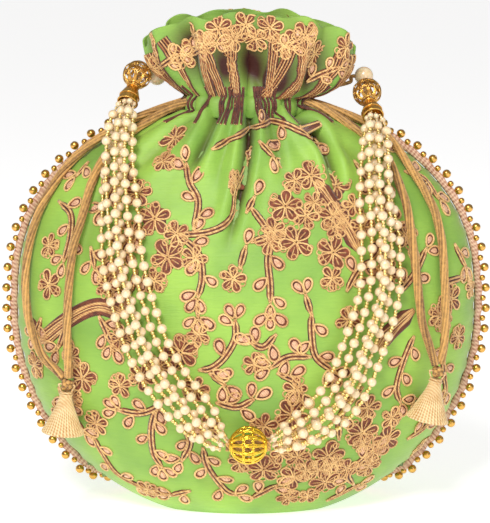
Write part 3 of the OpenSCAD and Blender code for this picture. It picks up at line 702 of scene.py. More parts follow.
PEARLS = {"left": np.array([-42.5, 7, 205.0]), "right": np.array([56.2, 7, 205.0])}
BALLS = {"left": np.array([-51.6, -0.2, 206.0]), "right": np.array([57.3, -2.2, 198.0])}
AIMS = {"left": np.array([-55.2, -9.7, 195.5]), "right": np.array([59.4, -14.0, 189.0])}
ANCHORS = {"left": [(-25, 7, 196), (-30, 7, 198.5), (-36.2, 7, 201.6), (-36.9, 7, 204.4), (-39.5, 7, 205),
                    (-44, 7, 205)],
           "right": [(25, 7, 196), (33, 7, 198.3), (48.9, 7, 201.8), (49.8, 7, 204.5), (52.5, 7, 205),
                     (57.5, 7, 205)]}
CENTRE_BALL = np.array([1, -66, 42.0])


def filigree(shape, at, axis, radius, ribs):
    """An openwork ball: ribs from pole to pole, leaf loops between them, collars at the poles."""
    x, y, z = frame_on(axis, [0.1, 0.2, 1])

    def on_ball(lat, lon):
        return at + radius * (np.cos(lat)[:, None] * (np.cos(lon)[:, None] * x + np.sin(lon)[:, None] * y)
                              + np.sin(lat)[:, None] * z)

    lat = np.linspace(-1.25, 1.25, 25)
    wire = 0.052 * radius
    half = math.pi / ribs
    t = round_angles(20)
    for q in range(ribs):
        lon = 2 * math.pi * q / ribs
        shape.tube(on_ball(lat, np.full(25, lon)), wire, 6, tone=0.6)
        for mid, long in ((-0.62, 0.42), (0.0, 0.3), (0.62, 0.42)):
            leaf = on_ball(mid + long * np.cos(t), lon + half + 0.72 * half * np.sin(t))
            shape.tube(leaf, wire * 0.8, 6, closed=True, tone=0.75)
    ring = round_angles(40)
    for level in (-1.25, -1.08, -0.3, 0.3, 1.08, 1.25):
        thick = wire * (1.5 if abs(level) > 1 else 0.7)
        shape.tube(on_ball(np.full(40, level), ring), thick, 6, closed=True, tone=0.5)


def bell(shape, start, axis):
    """The cap that gathers the strands: a fluted bell with a beaded rim."""
    outer = [(1.7, -0.1), (2.5, 0.2), (2.9, 1.4), (4.2, 4.4), (4.65, 6.4), (4.7, 8.8), (4.9, 9.9)]
    inner = [(4.4, 9.9), (4.2, 8.6), (4.1, 6.2), (3.4, 4.2), (2.0, 2.0), (1.2, 1.9), (1.2, -0.1)]
    shape.lathe(curve_through(outer, 0.4).tolist() + inner, start, axis, 72, 18, 0.04)
    x, y, z = frame_on(axis, [0.1, 1, 0.2])
    a = round_angles(48)[:, None]
    for d, r, wire in ((0.5, 2.75, 0.32), (6.4, 4.7, 0.28), (9.6, 4.8, 0.3)):
        shape.tube(start + d * z + r * (np.cos(a) * x + np.sin(a) * y), wire, 8, closed=True, tone=0.6)


for side in PEARLS:
    pearl, ball, aim = PEARLS[side], BALLS[side], AIMS[side]
    way = unit(aim - ball)
    openwork = Shape()
    filigree(openwork, ball, way, 6.6, 10)
    make(f"{side}_openwork_ball", openwork, GOLD, "handle", (f"{side}_filigree_ball",))
    cap = Shape()
    bell(cap, ball + 7.05 * way, way)
    make(f"{side}_bell_cap", cap, GOLD, "handle", (f"{side}_strand_cap",), weld=True)
    thread = Shape()
    to_ball = unit(ball - pearl)
    stops = [pearl + 4.55 * to_ball, ball - 3 * to_ball, ball, ball + 3 * way, ball + 9.2 * way]
    rope(thread, curve_through(stops, 0.4), 1.0, 5, 9)
    make(f"{side}_twisted_thread", thread, CORD, "handle", (f"{side}_end_thread",))
    anchor = Shape()
    rope(anchor, curve_through(ANCHORS[side], 0.5), 0.95, 5, 8)
    make(f"{side}_anchor_cord", anchor, CORD, "bag", (f"{side}_handle_anchor",))
    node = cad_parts[f"{side}_end_pearl"]
    node.data.materials.clear()
    node.data.materials.append(PEARL)

openwork = Shape()
filigree(openwork, CENTRE_BALL, (1, 0, 0), 8.5, 14)
make("centre_openwork_ball", openwork, BRIGHT_GOLD, "centre_ball",
     ("centre_filigree_ball",))
core = Shape()
core_line = CENTRE_BALL + np.linspace(-10.4, 10.4, 40)[:, None] * np.array([[1.0, 0, 0]])
rope(core, core_line, 2.85, 9, 14)
make("centre_core_thread", core, CORD, "handle", ("centre_thread",))

# ---------- Body cloth and lining ----------

panels, linings = {}, {}
for side, word in ((-1, "front"), (1, "back")):
    grid, tone = panel_grid(side)
    grid[..., 2] = np.maximum(grid[..., 2], 0.0)
    cloth = Shape()
    cloth.sheet(grid, 0.9, tone=tone)
    panels[word] = make(f"{word}_silk", cloth, SILK, "bag", (f"{word}_panel",))
    lining = Shape()
    across = np.gradient(grid, axis=1)
    normal = unit(np.cross(across, np.gradient(grid, axis=0)))
    inner = (grid - normal * 1.9)[:, 3:-3][::2, ::3]
    lining.sheet(inner, 0.7, tone=0.5)
    linings[word] = make(f"{word}_lining_cloth", lining, LINING, "bag",
                         (f"lining_{word}",))

# ---------- Neck and ruffle ----------

RUFFLE_Z, RUFFLE_TOP_Z, RUFFLE_SIDE_Z = 198.0, 237.0, 217.0


def neck_cloth(n=420):
    """The gathered cloth over the casing: deep pleats that puff out and are drawn in at the top."""
    a = np.linspace(0, -2 * math.pi, n, endpoint=False)[None]
    t = np.linspace(0, 1, 22)[:, None]
    fold = pleats(a)
    swell = 1.3 * np.sin(math.pi * np.minimum(1, 1.25 * t)) - 2.0 * smooth_step((t - 0.6) / 0.3)
    out = swell + fold * (3.9 - 0.5 * t)
    z = 187.6 + 11.6 * t + 0.5 * fold * np.sin(math.pi * t)
    grid = np.stack([(27.4 + out) * np.cos(a), (15.8 + out) * np.sin(a), z], -1)
    shape = Shape()
    # Painted shade: darker in the pleat valleys, and a little darker towards the top.
    tone = np.clip(0.5 + 1.0 * np.minimum(fold + 0.1, 0) - 0.12 * t, 0, 1)
    shape.sheet(grid, 1.6, wrap=True, tone=tone)
    return make("neck_gathers", shape, SILK, "bag", ("neck_casing",))


# Folds of the ruffle as (angle in degrees, depth, half width in degrees, share of height that is deepest)
RUFFLE_FOLDS = [
    (-165, 5.0, 8, 0.45), (-131, 8.5, 11, 0.72), (-108, 5.0, 6, 0.35), (-86, 13.0, 14, 0.42),
    (-66, 5.0, 6, 0.35), (-46, 8.5, 10, 0.66), (-14, 4.5, 8, 0.4), (22, 4.5, 8, 0.6), (48, 6.0, 8, 0.6),
    (72, 5.0, 7, 0.5), (98, 6.5, 8, 0.6), (124, 5.0, 7, 0.6), (152, 5.0, 8, 0.6)]


def ruffle_grid(rows=72, n=560):
    a = np.linspace(0, -2 * math.pi, n, endpoint=False)[None]
    v = np.linspace(0, 1, rows)[:, None]
    reach = 1 - (1 - v) ** 2.2
    right = smooth_step((np.cos(a) + 0.1) / 0.7) * smooth_step((-np.sin(a) + 0.25) / 0.5)
    fold = pleats(a) * (1 - v) ** 1.1 * 4.4
    # dark is painted shade: the pleat valleys and deep folds darken the silk toward its maroon fold
    # colour, which partly also stands for brown stitching in the folds.
    dark = np.clip(-fold - 0.3, 0, 2) * 0.6
    for angle, depth, half, level in RUFFLE_FOLDS:
        away = (np.degrees(a) - angle + 180) % 360 - 180
        above = 1 - 0.75 * smooth_step((v - level) / (1 - level))
        up = np.where(v < level, smooth_step(v / level), above)
        valley = np.exp(-np.abs(away / half) ** 2.6) * up
        ridge = np.exp(-((np.abs(away) - 2.0 * half) / half) ** 2) * smooth_step(v * 1.3)
        fold = fold - depth * valley + 0.14 * depth * ridge
        dark = dark + np.minimum(1.1, depth / 5) * valley ** 0.9
    curl = 0.9 * np.sin(17 * a + 2 * np.sin(2 * a)) * v ** 4
    half_x = 26.5 + (47.5 - 26.5 + 2.2 * right) * reach + fold + curl
    half_y = 15 + (24 - 15) * reach + 0.8 * fold + curl
    side_z = RUFFLE_SIDE_Z + 4 * smooth_step(-np.cos(a) * 2)
    rim = side_z + (RUFFLE_TOP_Z - side_z) * np.abs(np.sin(a)) ** 0.8
    rim = rim + 0.9 * np.sin(11 * a + 1) + 0.7 * np.sin(17 * a)
    x = half_x * np.cos(a) + 1.0 * reach
    y = half_y * np.sin(a) - 3 * reach
    z = RUFFLE_Z - 1.0 + (rim - RUFFLE_Z) * v ** (1 + 1.2 * right)
    grid = np.stack([x, y, z + 0 * x], -1)
    return grid, np.clip(0.5 - 0.5 * dark, 0, 1)


neck = neck_cloth()
ruffle_rows, tone = ruffle_grid()
cloth = Shape()
cloth.sheet(ruffle_rows, 0.8, wrap=True, tone=tone)
ruffle = make("ruffle_silk", cloth, SILK, "bag", ("ruffle",))

# ---------- Seam trim ----------

TRIM_TOP_Z = 187.0


def seam_line():
    t = np.linspace(0, 1, 160)
    z = TRIM_TOP_Z + (SEAM_SIDE_Z - TRIM_TOP_Z) * (1 - np.cos(math.pi / 2 * t))
    side = np.stack([half_w(z), 0 * z, z], 1)
    low = skin_points(SEAM_Y, SEAM_LOW_Z, SEAM_SIDE_Z, np.linspace(0, math.pi, 130)[1:-1], 0)
    return curve_through(np.vstack([side[:-1], low, (side * [-1, 1, 1])[::-1]]), 0.5)


def seam_out(p):
    fade = 1 - np.minimum(1, 1.8 * np.maximum(0, p[:, 1]) / SEAM_Y)
    return unit(np.stack([p[:, 0] / BODY_HALF_W ** 2, p[:, 1] / BACK_DEPTH ** 2,
                          fade * (p[:, 2] - WIDEST_Z) / WIDEST_Z ** 2], 1))


seam = seam_line()
outward = seam_out(seam)
along_seam = unit(np.gradient(seam, axis=0))
over = unit(np.cross(along_seam, outward))
run = np.arange(len(seam)) * 0.5
ripple = 0.35 * np.sin(run / 1.5) + 0.25 * np.sin(run / 3.7 + 1)
section = [(0.2, 0.0), (1.0, 0.75), (2.4, 0.62), (3.7, 0.45), (4.05, 0.0), (3.7, -0.45), (2.4, -0.62),
           (1.0, -0.75)]
rows = np.stack([seam + (w + ripple * w / 5)[:, None] * outward + (h + ripple * w / 8)[:, None] * over
                 for w, h in [(np.full(len(seam), a), b) for a, b in section]], 1)
tape = Shape()
tape.grid(rows, wrap=True, ends=True, tone=(0.55 + 0.45 * np.sin(run * 3.2))[:, None] + 0 * rows[..., 0])
make("seam_satin_tape", tape, TAPE, "bag", ("seam_tape",))


def islands(node):
    """Centre of each separate bead of a CAD node, in millimetres."""
    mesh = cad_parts[node].data
    co = np.array([v.co for v in mesh.vertices]) / MM
    key = {}
    group = list(range(len(co)))

    def find(i):
        while group[i] != i:
            group[i] = group[group[i]]
            i = group[i]
        return i

    for i, p in enumerate(np.round(co, 3)):
        j = key.setdefault(tuple(p), i)
        group[find(i)] = find(j)
    for e in mesh.edges:
        group[find(e.vertices[0])] = find(e.vertices[1])
    roots = {}
    for i in range(len(co)):
        roots.setdefault(find(i), []).append(i)
    return [(co[q].min(0) + co[q].max(0)) / 2 for q in roots.values() if len(q) > 8]


def bead_pattern():
    """A round bead with a hole along +Z."""
    t = np.linspace(-1.18, 1.18, 13)
    outer = [(math.cos(q), math.sin(q)) for q in t]
    shape = Shape()
    shape.lathe(outer + [(0.3, 0.80), (0.26, 0.0), (0.3, -0.80)], (0, 0, 0), (0, 0, 1), 16)
    return np.concatenate(shape.verts), shape.faces


BEAD = bead_pattern()
for node, radius, name in (("trim_beads_large", 2.1, "outer_gold_beads"),
                           ("trim_beads_small", 1.5, "inner_gold_beads")):
    shape = Shape()
    for c in islands(node):
        i = int(((seam - c) ** 2).sum(1).argmin())
        lean = outward[i] + rng.normal(0, 0.25, 3)
        shape.stamp(BEAD, [c], [radius], [rng.uniform(0.4, 0.9)], [turn_to(unit(lean))])
        if node == "trim_beads_large":
            stalk = np.array([seam[i] + 2.5 * outward[i], c + 0.6 * radius * outward[i]])
            shape.tube(stalk, 0.3, 6, tone=0.3)
    make(name, shape, GOLD, "bag", (node,))

# ---------- Embroidery ----------


PETALS, STEM_GAP = 5, 0.85
BAND_CORDS, BAND_GAP = 7, 1.15
RAY_START = 90


def from_side(x, z, side):
    """Start and way of a ray that meets the bag at (x, z) from the front (side -1) or behind (1)."""
    return (x, side * RAY_START, z), (0, -side, 0)


def against(normal, way):
    """The normal turned to point against the way."""
    n = np.array(normal)
    return n if n @ np.array(way) < 0 else -n


class Cloth:
    """The surface of one or more cloth pieces to stitch on."""

    def __init__(self, *pieces):
        verts, faces = [], []
        for piece in pieces:
            n = len(verts)
            verts += [tuple(v.co / MM) for v in piece.data.vertices]
            faces += [[i + n for i in f.vertices] for f in piece.data.polygons]
        self.tree = BVHTree.FromPolygons(verts, faces)

    def spot(self, start, way):
        """The place where a ray meets the cloth, with its normal and two directions on the cloth."""
        place, normal, _, _ = self.tree.ray_cast(Vector(start), Vector(way))
        if place is None:
            return None
        n = against(normal, way)
        u = np.cross([0, 0, 1], n)
        u = unit(u if np.linalg.norm(u) > 0.2 else np.array([1.0, 0, 0]))
        return np.array(place), n, u, np.cross(n, u)

    def lay(self, spot, flat, height):
        """Points given on the flat at a spot, laid on the cloth and lifted by height."""
        p, n, u, v = spot
        places, normals = self.nearest(p + flat[:, :1] * u + flat[:, 1:] * v + 0.6 * n, -n)
        return places + height * normals

    def nearest(self, points, ways):
        """The nearest places on the cloth, with their normals turned against the ways."""
        places, normals = [], []
        for point, way in zip(points, np.broadcast_to(ways, (len(points), 3))):
            place, normal, _, _ = self.tree.find_nearest(Vector(point))
            places.append(np.array(place))
            normals.append(against(normal, way))
        return np.array(places), np.array(normals)

    def beside(self, line, ways):
        """Normals of the cloth along a line, and directions on the cloth square to the line."""
        _, n = self.nearest(line, ways)
        return n, unit(np.cross(unit(np.gradient(line, axis=0)), n))


def end_taper(n, over=3):
    """Shares of a width that narrows over the first and last few of n points."""
    i = np.arange(n)
    return np.minimum(1, 0.25 + 0.75 * np.minimum(i, n - 1 - i) / over)


class Stitching:
    """The raised embroidery of one cloth, in three meshes."""

    def __init__(self, cloth):
        self.cloth = cloth
        self.cord, self.brown, self.satin = Shape(), Shape(), Shape()

    def patch(self, shape, spot, outline, centre, heights, tone):
        """A filled patch with rings of the given heights, sunk into the cloth at its edge."""
        n = len(outline)
        rings = []
        for share, h in zip((1.0, 0.8, 0.45), heights):
            rings.append(self.cloth.lay(spot, centre + (outline - centre) * share, h))
        rings.append(self.cloth.lay(spot, centre[None], heights[3]))
        faces = grid_faces(3, n, True).tolist()
        faces += [[2 * n + j, 2 * n + (j + 1) % n, 3 * n] for j in range(n)]
        flecks = tone + rng.uniform(-0.35, 0.35, 3 * n + 1)
        shape.add(np.concatenate(rings), faces, np.clip(flecks, 0, 1))

    def petal(self, spot, root, turn, long, wide, leaf):
        """One petal or leaf: a cord outline on dark stitching, and satin inside a leaf."""
        t = round_angles(16)
        x = long * (0.5 - 0.5 * np.cos(t))
        y = wide * 0.56 * np.sin(t) * np.sin(t / 2) ** (0.6 if leaf else 1.1)
        c, s = math.cos(turn), math.sin(turn)
        outline = np.stack([root[0] + x * c - y * s, root[1] + x * s + y * c], 1)
        centre = np.array([root[0] + 0.56 * long * c, root[1] + 0.56 * long * s])
        # The brown patch is the petal's dark fill; its rim, spread past the cord outline, is painted
        # shadow round the raised cord.
        self.patch(self.brown, spot, centre + (outline - centre) * 1.25, centre, (-0.15, 0.2, 0.25, 0.3),
                   0.25 if leaf else 0.45)
        rim = self.cloth.lay(spot, outline, 0.38)
        self.cord.tube(rim, 0.5 if leaf else 0.4, 6, closed=True, tone=rng.uniform(0.4, 0.9))
        if leaf:
            self.patch(self.satin, spot, centre + (outline - centre) * 0.62, centre,
                       (0.15, 0.5, 0.65, 0.7), 0.6)

    def mat(self, spot, size):
        """Dark stitching under a flower, with small cord loops round its edge."""
        t = round_angles(18)
        lobes = 0.1 * np.sin(5 * t + rng.uniform(0, 6))
        ragged = size * (1.12 + lobes + rng.uniform(-0.07, 0.07, len(t)))
        ring = np.stack([np.cos(t), np.sin(t)], 1)
        self.patch(self.brown, spot, ring * ragged[:, None], np.zeros(2), (-0.15, 0.1, 0.14, 0.16), 0.3)
        for a in rng.uniform(0, 2 * math.pi, 5):
            loop = 1.12 * size * np.array([math.cos(a), math.sin(a)]) + rng.uniform(1.1, 1.7) * ring[::2]
            loop = self.cloth.lay(spot, loop, 0.35)
            self.cord.tube(loop, 0.36, 6, closed=True, tone=rng.uniform(0.2, 0.7))

    def flower(self, start, way, size, turn):
        spot = self.cloth.spot(start, way)
        if spot is None:
            return
        self.mat(spot, size)
        for q in range(PETALS):
            a = turn + 2 * math.pi * q / PETALS + rng.uniform(-0.12, 0.12)
            long = 1.3 * size * rng.uniform(0.92, 1.08)
            ray = np.array([math.cos(a), math.sin(a)])
            self.petal(spot, 0.08 * size * ray, a, long, long * 0.74, False)
            reach = np.linspace(0.3 * long, 0.8 * long, 5)[:, None] * ray
            self.cord.tube(self.cloth.lay(spot, reach, 0.5), 0.3, 6, tone=0.35)

    def line_on(self, points, side, height=0.3):
        """A smooth line of cloth points through given (x, z) places."""
        out = []
        for x, z in curve_through(points, 1.1):
            spot = self.cloth.spot(*from_side(x, z, side))
            if spot is not None:
                out.append(spot[0] + height * spot[1])
        return np.array(out)

    def stem(self, line, side):
        """Two cords side by side with dark stitching between and under them."""
        n, across = self.cloth.beside(line, (0, -side, 0))
        taper = end_taper(len(line))
        at = np.arange(len(line))
        # The brown strip is the dark stitching between the cords; where it spreads past them it is
        # painted shadow along the raised cords.
        self.brown.tube(line - 0.3 * n, 1.85 * taper, 8, tone=0.2 + 0.2 * np.sin(at), flat=0.3, up=n)
        for q in (-STEM_GAP, STEM_GAP):
            cord = line + q * taper[:, None] * across + 0.12 * n
            self.cord.tube(cord, 0.48, 6, tone=0.5 + 0.3 * np.sin(at * 2.1))

    def sprig(self, points, side, leaves, size=7.4):
        """A stem with leaves: L and R beside it, T at its tip, O for a space."""
        line = self.line_on(points, side)
        if len(line) < 3:
            return
        self.stem(line, side)
        beside = [c for c in leaves if c != "T"]
        for q, c in enumerate(beside):
            if c != "O":
                self.leaf_at(line, (q + 0.7) / len(beside), side, {"L": 0.95, "R": -0.95}[c], size)
        tips = leaves.count("T")
        for q in range(tips):
            self.leaf_at(line, 1.0, side, (q - (tips - 1) / 2) * 0.9, size)

    def leaf_at(self, line, share, side, lean, size):
        i = min(len(line) - 2, int(share * (len(line) - 1)))
        p = line[i]
        spot = self.cloth.spot(*from_side(p[0], p[2], side))
        if spot is None:
            return
        t = line[i + 1] - line[i]
        turn = math.atan2(t @ spot[3], t @ spot[2]) - side * lean
        long = size * rng.uniform(0.9, 1.12)
        root = 1.6 * np.array([math.cos(turn), math.sin(turn)])
        self.petal(spot, root, turn, long, long * 0.66, True)

    def band(self, points, side):
        """A broad band of cords laid side by side."""
        line = self.line_on(points, side, 0.25)
        if len(line) < 3:
            return
        n, across = self.cloth.beside(line, (0, -side, 0))
        middle = (BAND_CORDS - 1) / 2
        width = BAND_GAP * middle
        taper = end_taper(len(line), 5)
        # The brown strip is dark stitching under the cords; where it spreads past the outer cords it is
        # painted shadow along them.
        self.brown.tube(line - 0.25 * n, (width + 0.7) * taper, 10, tone=0.3, flat=0.14, up=n)
        for q in range(BAND_CORDS):
            wander = 0.75 + 0.25 * np.cos(np.linspace(0, 5, len(line)) + q)
            off = taper * (q - middle) * BAND_GAP * wander
            lifted, _ = self.cloth.nearest(line + off[:, None] * across, n)
            self.cord.tube(lifted + 0.32 * n, 0.4, 6, tone=0.3 + 0.5 * (q % 2))

    def make(self, name):
        made = []
        for shape, material, word, slot in ((self.cord, OUTLINE, "outline_cord", "gold_thread"),
                                            (self.brown, BROWN, "brown_stitching_and_shadow", "brocade"),
                                            (self.satin, SATIN, "satin_stitch", "pale_satin")):
            if shape.verts:
                made.append(make(f"{name}_{word}", shape, material, "bag"))
        return made


# Flowers as (x, z, petal length, turn in degrees) and sprigs as (points, leaves), in millimetres
FRONT_FLOWERS = [
    (-33, 178, 5.6, 60), (-42, 143, 6.0, 20), (-36, 126, 6.2, 50), (-6, 117, 4.4, 80), (18, 149, 6.0, 90),
    (30, 162, 5.2, 30), (42, 157, 5.2, 70), (40, 144, 5.4, 10), (23, 133, 6.2, 40), (40, 128, 5.8, 75),
    (54, 139, 4.6, 20), (-30, 83, 6.0, 30), (-23, 66, 4.6, 0), (-48, 71, 4.8, 60), (-76, 68, 5.4, 80),
    (-100, 70, 5.0, 20), (-92, 110, 5.2, 40), (21, 54, 6.0, 55), (8, 49, 4.6, 10), (54, 43, 6.4, 80),
    (66, 38, 5.6, 30), (38, 32, 6.0, 10), (22, 22, 6.0, 60), (37, 18, 5.4, 35), (8, 27, 5.8, 15),
    (24, 33, 4.4, 0), (96, 103, 5.4, 30), (90, 96, 4.8, 70), (47, 97, 4.6, 50), (-70, 46, 4.8, 10),
    (-88, 48, 4.6, 40), (82, 52, 5.0, 15), (-76, 12, 4.4, 30), (-58, 66, 4.2, 15), (84, 28, 4.8, 60),
    (-58, 88, 4.8, 20), (-18, 47, 4.6, 30), (4, 78, 4.2, 10), (-46, 12, 4.8, 50), (58, 24, 4.6, 0),
    (100, 84, 4.4, 45), (-92, 128, 4.4, 15), (66, 118, 4.8, 60), (74, 134, 4.6, 20), (-64, 112, 4.6, 75),
    (-6, 160, 4.2, 40), (-50, 154, 4.8, 15)]
FRONT_SPRIGS = [
    ([(-24, 138), (-22, 151), (-26, 159), (-28, 168)], "RLRLT"),
    ([(-31, 136), (-16, 138), (-7, 144), (-5, 156), (1, 168)], "LORLRT"),
    ([(-29, 135), (-22, 128), (-20, 118), (-22, 108)], "LRLRTT"), ([(-3, 121), (0, 132)], "T"),
    ([(0, 146), (4, 154)], "T"), ([(2, 183), (13, 186), (25, 182), (34, 175)], "LRLRT"),
    ([(-16, 174), (-6, 179), (2, 183)], "O"), ([(6, 178), (13, 170)], "LRT"),
    ([(2, 149), (11, 136), (10, 125), (11, 114), (11, 106)], "OOLRLT"), ([(2, 133), (11, 136)], "O"),
    ([(30, 101), (30, 92), (32, 81), (40, 74)], "LRLRTT"), ([(30, 81), (19, 81), (11, 76)], "RLRT"),
    ([(30, 100), (27, 110)], "TT"), ([(-22, 106), (-22, 99)], "TTT"), ([(11, 104), (11, 101)], "TTT"),
    ([(-22, 75), (-16, 76), (-10, 81), (-5, 90), (-5, 99)], "RLRLTT"), ([(-17, 74), (-9, 68)], "LRT"),
    ([(-38, 61), (-42, 56), (-50, 53), (-60, 54)], "LRLRTT"),
    ([(-42, 55), (-44, 45), (-43, 33), (-39, 26)], "LRLRTT"), ([(-68, 98), (-64, 90), (-61, 84)], "LRRT"),
    ([(-72, 39), (-68, 30), (-61, 19), (-49, 13)], "LRLRT"),
    ([(-20, 38), (-18, 28), (-10, 15), (-4, 12)], "LRLRLT"),
    ([(78, 88), (73, 76), (70, 64), (72, 56)], "LRLRLT"), ([(92, 88), (93, 70), (95, 57)], "RLRT"),
    ([(54, 66), (44, 53), (43, 40)], "RLO"), ([(51, 14), (48, 20), (52, 26), (61, 34)], "LRLRT"),
    ([(74, 162), (84, 158), (91, 148)], "LRLT"), ([(98, 128), (104, 116)], "LRT"),
    ([(92, 111), (103, 112)], "O"), ([(-88, 148), (-82, 143), (-82, 133), (-85, 121)], "LRLRT"),
    ([(-72, 129), (-70, 119)], "LRLT"), ([(-74, 166), (-80, 159)], "LRT"), ([(2, 10), (15, 18)], "LRT"),
    ([(38, 6), (54, 14)], "LRT"), ([(-52, 168), (-60, 158), (-66, 146)], "LRLRT"),
    ([(-50, 120), (-54, 108)], "LRT"), ([(-84, 92), (-88, 80)], "LRT"), ([(60, 176), (68, 168)], "LR"),
    ([(-88, 62), (-84, 52), (-76, 40)], "RLRLT"), ([(-30, 50), (-26, 40), (-30, 30)], "LRLRT"),
    ([(14, 92), (8, 86), (2, 88)], "LRT"), ([(46, 110), (52, 120), (60, 124)], "RLRLT"),
    ([(70, 108), (78, 116), (84, 128)], "LRLRT"), ([(76, 36), (84, 40), (90, 48)], "LRLT"),
    ([(-14, 60), (-4, 58), (4, 62)], "LRLT"), ([(-48, 138), (-56, 130), (-58, 122)], "LRLRT"),
    ([(50, 168), (58, 158), (66, 148)], "LRLRT"), ([(-26, 14), (-36, 10)], "LRT"),
    ([(-96, 94), (-100, 84)], "LRT"), ([(14, 74), (22, 70), (26, 64)], "LRT")]
FRONT_BANDS = [
    [(32, 160), (40, 149), (47, 138), (52, 128)], [(-97, 82), (-84, 94), (-69, 102), (-55, 99)],
    [(60, 83), (67, 91), (78, 100)], [(-104, 94), (-98, 84)]]

BACK_FLOWERS = [
    (30, 172, 5.6, 60), (40, 142, 6.0, 20), (34, 126, 6.2, 50), (-18, 149, 6.0, 90), (-30, 160, 5.6, 30),
    (-42, 150, 5.4, 70), (-24, 133, 6.0, 40), (28, 82, 6.0, 30), (48, 72, 5.0, 60), (76, 68, 5.4, 80),
    (90, 108, 5.2, 40), (-21, 54, 6.0, 55), (-54, 44, 6.4, 80), (-38, 32, 6.0, 10), (-20, 24, 6.0, 60),
    (-92, 102, 5.4, 30), (-88, 92, 4.8, 70), (-47, 97, 5.0, 50), (0, 100, 6.0, 20), (12, 38, 5.6, 0),
    (66, 40, 5.0, 35), (-76, 66, 5.4, 10), (4, 168, 5.0, 50)]
BACK_SPRIGS = [
    ([(24, 138), (22, 151), (26, 160)], "RLRLT"), ([(30, 134), (16, 138), (6, 146), (4, 158)], "LRLRT"),
    ([(28, 132), (20, 120), (22, 108)], "LRLRTT"), ([(-12, 136), (-10, 125), (-12, 108)], "LRLRTT"),
    ([(-30, 101), (-30, 92), (-34, 80), (-44, 72)], "LRLRTT"), ([(20, 76), (10, 82), (4, 90)], "RLRLTT"),
    ([(38, 61), (46, 54), (60, 54)], "LRLRTT"), ([(42, 50), (44, 36), (38, 24)], "LRLRTT"),
    ([(66, 98), (62, 86)], "LRRT"), ([(-2, 60), (0, 44), (-8, 32)], "LRLRLT"),
    ([(-76, 88), (-72, 76), (-66, 56)], "LRLRLT"), ([(-60, 160), (-70, 148), (-76, 134)], "LRLRT"),
    ([(60, 160), (70, 146), (74, 130)], "LRLRT"), ([(84, 90), (92, 78)], "LRT"),
    ([(-50, 120), (-62, 112), (-70, 118)], "LRLRT"), ([(52, 112), (62, 106)], "LRT")]
BACK_BANDS = [
    [(-32, 158), (-44, 142), (-52, 126)], [(56, 98), (70, 102), (84, 92)],
    [(-60, 84), (-68, 92), (-80, 96)]]

front = Stitching(Cloth(panels["front"]))
back = Stitching(Cloth(panels["back"]))
for work, side, flowers, sprigs, bands in ((front, -1, FRONT_FLOWERS, FRONT_SPRIGS, FRONT_BANDS),
                                           (back, 1, BACK_FLOWERS, BACK_SPRIGS, BACK_BANDS)):
    for points in bands:
        work.band(points, side)
    for points, leaves in sprigs:
        work.sprig(points, side, leaves)
    for x, z, size, turn in flowers:
        if size >= 5.4:
            for q in range(2):
                a = math.radians(turn) + math.pi * (q + rng.uniform(-0.3, 0.3))
                ray = from_side(x + 2.0 * size * math.cos(a), z + 2.0 * size * math.sin(a), side)
                work.flower(*ray, 0.72 * size, a)
        work.flower(*from_side(x, z, side), size, math.radians(turn))
front_work = front.make("front")
back_work = back.make("back")

# Ruffle and neck embroidery: cords up beside the folds, flowers near the rim and sprigs on the lobes
frill = Stitching(Cloth(ruffle))
gathers = Stitching(Cloth(ruffle, neck, panels["front"], panels["back"]))


def radial(angle, high, lean):
    """Four cords side by side up the ruffle, from its foot to a share of its height."""
    last = len(ruffle_rows) - 1
    turn = np.linspace(angle, angle + lean, 24)
    level = np.linspace(0, high, 24) * last
    middle = []
    for q, up in zip(turn, level):
        j = (-q % 360) / 360 * ruffle_rows.shape[1]
        middle.append(ruffle_rows[int(up), int(j) % ruffle_rows.shape[1]])
    line = curve_through(middle[::3], 1.0)
    near, across = frill.cloth.beside(line, -unit(line * [1, 1, 0] - [1, 0, 0]))
    spread = np.linspace(0.75, 1.25, len(line))[:, None]
    for q in range(4):
        moved, _ = frill.cloth.nearest(line + ((q - 1.5) * 1.2) * spread * across + 1.2 * near, near)
        frill.brown.tube(moved, 0.95, 6, tone=0.1, flat=0.5, up=near)
        frill.cord.tube(moved + 0.4 * near, 0.36, 6, tone=0.05 + 0.35 * (q % 2))


def neck_cords(angle):
    """Two embroidery cords squeezed together where the cloth is gathered at the neck."""
    a = math.radians(angle)
    way = np.array([math.cos(a), math.sin(a), 0])
    for q in range(2):
        across = (q - 0.5) * 1.1 * np.array([-way[1], way[0], 0])
        places = []
        for z in np.arange(185.0, 203.0, 1.2):
            spread = 1 + abs(z - 193) / 14
            spot = gathers.cloth.spot(way * 80 + across * spread + [0, 0, z], -way)
            if spot is not None:
                places.append(spot[0] + 0.3 * way)
        line = curve_through(places[::2], 1.0)
        gathers.brown.tube(line - 0.3 * way, 0.75, 6, tone=0.12)
        gathers.cord.tube(line, 0.4, 6, tone=0.3 + 0.4 * (q % 2))


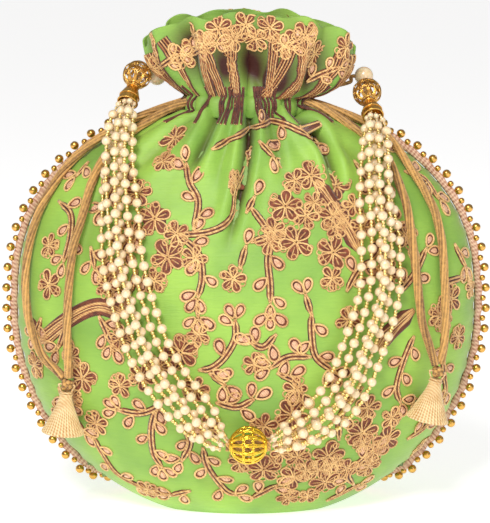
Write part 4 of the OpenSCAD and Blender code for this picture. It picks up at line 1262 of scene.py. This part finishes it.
for angle, depth, half, level in RUFFLE_FOLDS:
    radial(angle - 0.8 * half, 0.92, -0.7 * half)
    radial(angle + 0.8 * half, 0.88, 0.7 * half)
    neck_cords(angle - 0.8 * half)
    neck_cords(angle + 0.8 * half)
for q in range(30):
    angle = math.radians(q * 12 + 5)
    way = np.array([math.cos(angle), math.sin(angle), 0])
    top = 213 + 18 * abs(math.sin(angle)) ** 0.8
    frill.flower(way * 80 + [0, 0, top - (q % 2) * 6], -way, 5.0, q * 0.9)
for x, z, dx in ((-36, 214, 5), (36, 208, 8), (-20, 220, 6), (22, 222, 6)):
    for side in (-1, 1):
        frill.sprig([(x - dx, z - 4), (x, z), (x + dx, z + 3)], side, "LRLRT", 6.0)
frill_work = frill.make("ruffle")
neck_work = gathers.make("neck")

# ---------- Floor and light ----------

floor = bpy.data.meshes.new("floor")
floor.from_pydata([(-20, -8, 0), (20, -8, 0), (20, 60, 0), (-20, 60, 0)], [], [(0, 1, 2, 3)])
floor_piece = bpy.data.objects.new("floor", floor)
floor_piece.location.z = -0.0002
bpy.context.scene.collection.objects.link(floor_piece)
ground = Paint("pale_floor", 0.9)
ground.shader.inputs["Base Color"].default_value = (0.93, 0.92, 0.91, 1)
ground.shader.inputs["Emission Color"].default_value = (1, 1, 1, 1)
ground.shader.inputs["Emission Strength"].default_value = 0.62
floor.materials.append(ground.material)

world = bpy.data.worlds.new("studio")
bpy.context.scene.world = world
world.use_nodes = True
world.node_tree.nodes["Background"].inputs["Color"].default_value = (1, 1, 1, 1)
world.node_tree.nodes["Background"].inputs["Strength"].default_value = 0.32
for name, place, size, power in (("key", (-0.30, -1.15, 1.15), 0.5, 17.0),
                                 ("fill", (0.8, -1.2, 0.5), 0.9, 3.0)):
    lamp = bpy.data.lights.new(name, "AREA")
    lamp.energy, lamp.size = power, size
    light = bpy.data.objects.new(name, lamp)
    light.location = place
    light.rotation_euler = (Vector((0, 0, 0.1)) - Vector(place)).to_track_quat("-Z", "Y").to_euler()
    bpy.context.scene.collection.objects.link(light)
bpy.context.scene.view_settings.view_transform = "Standard"
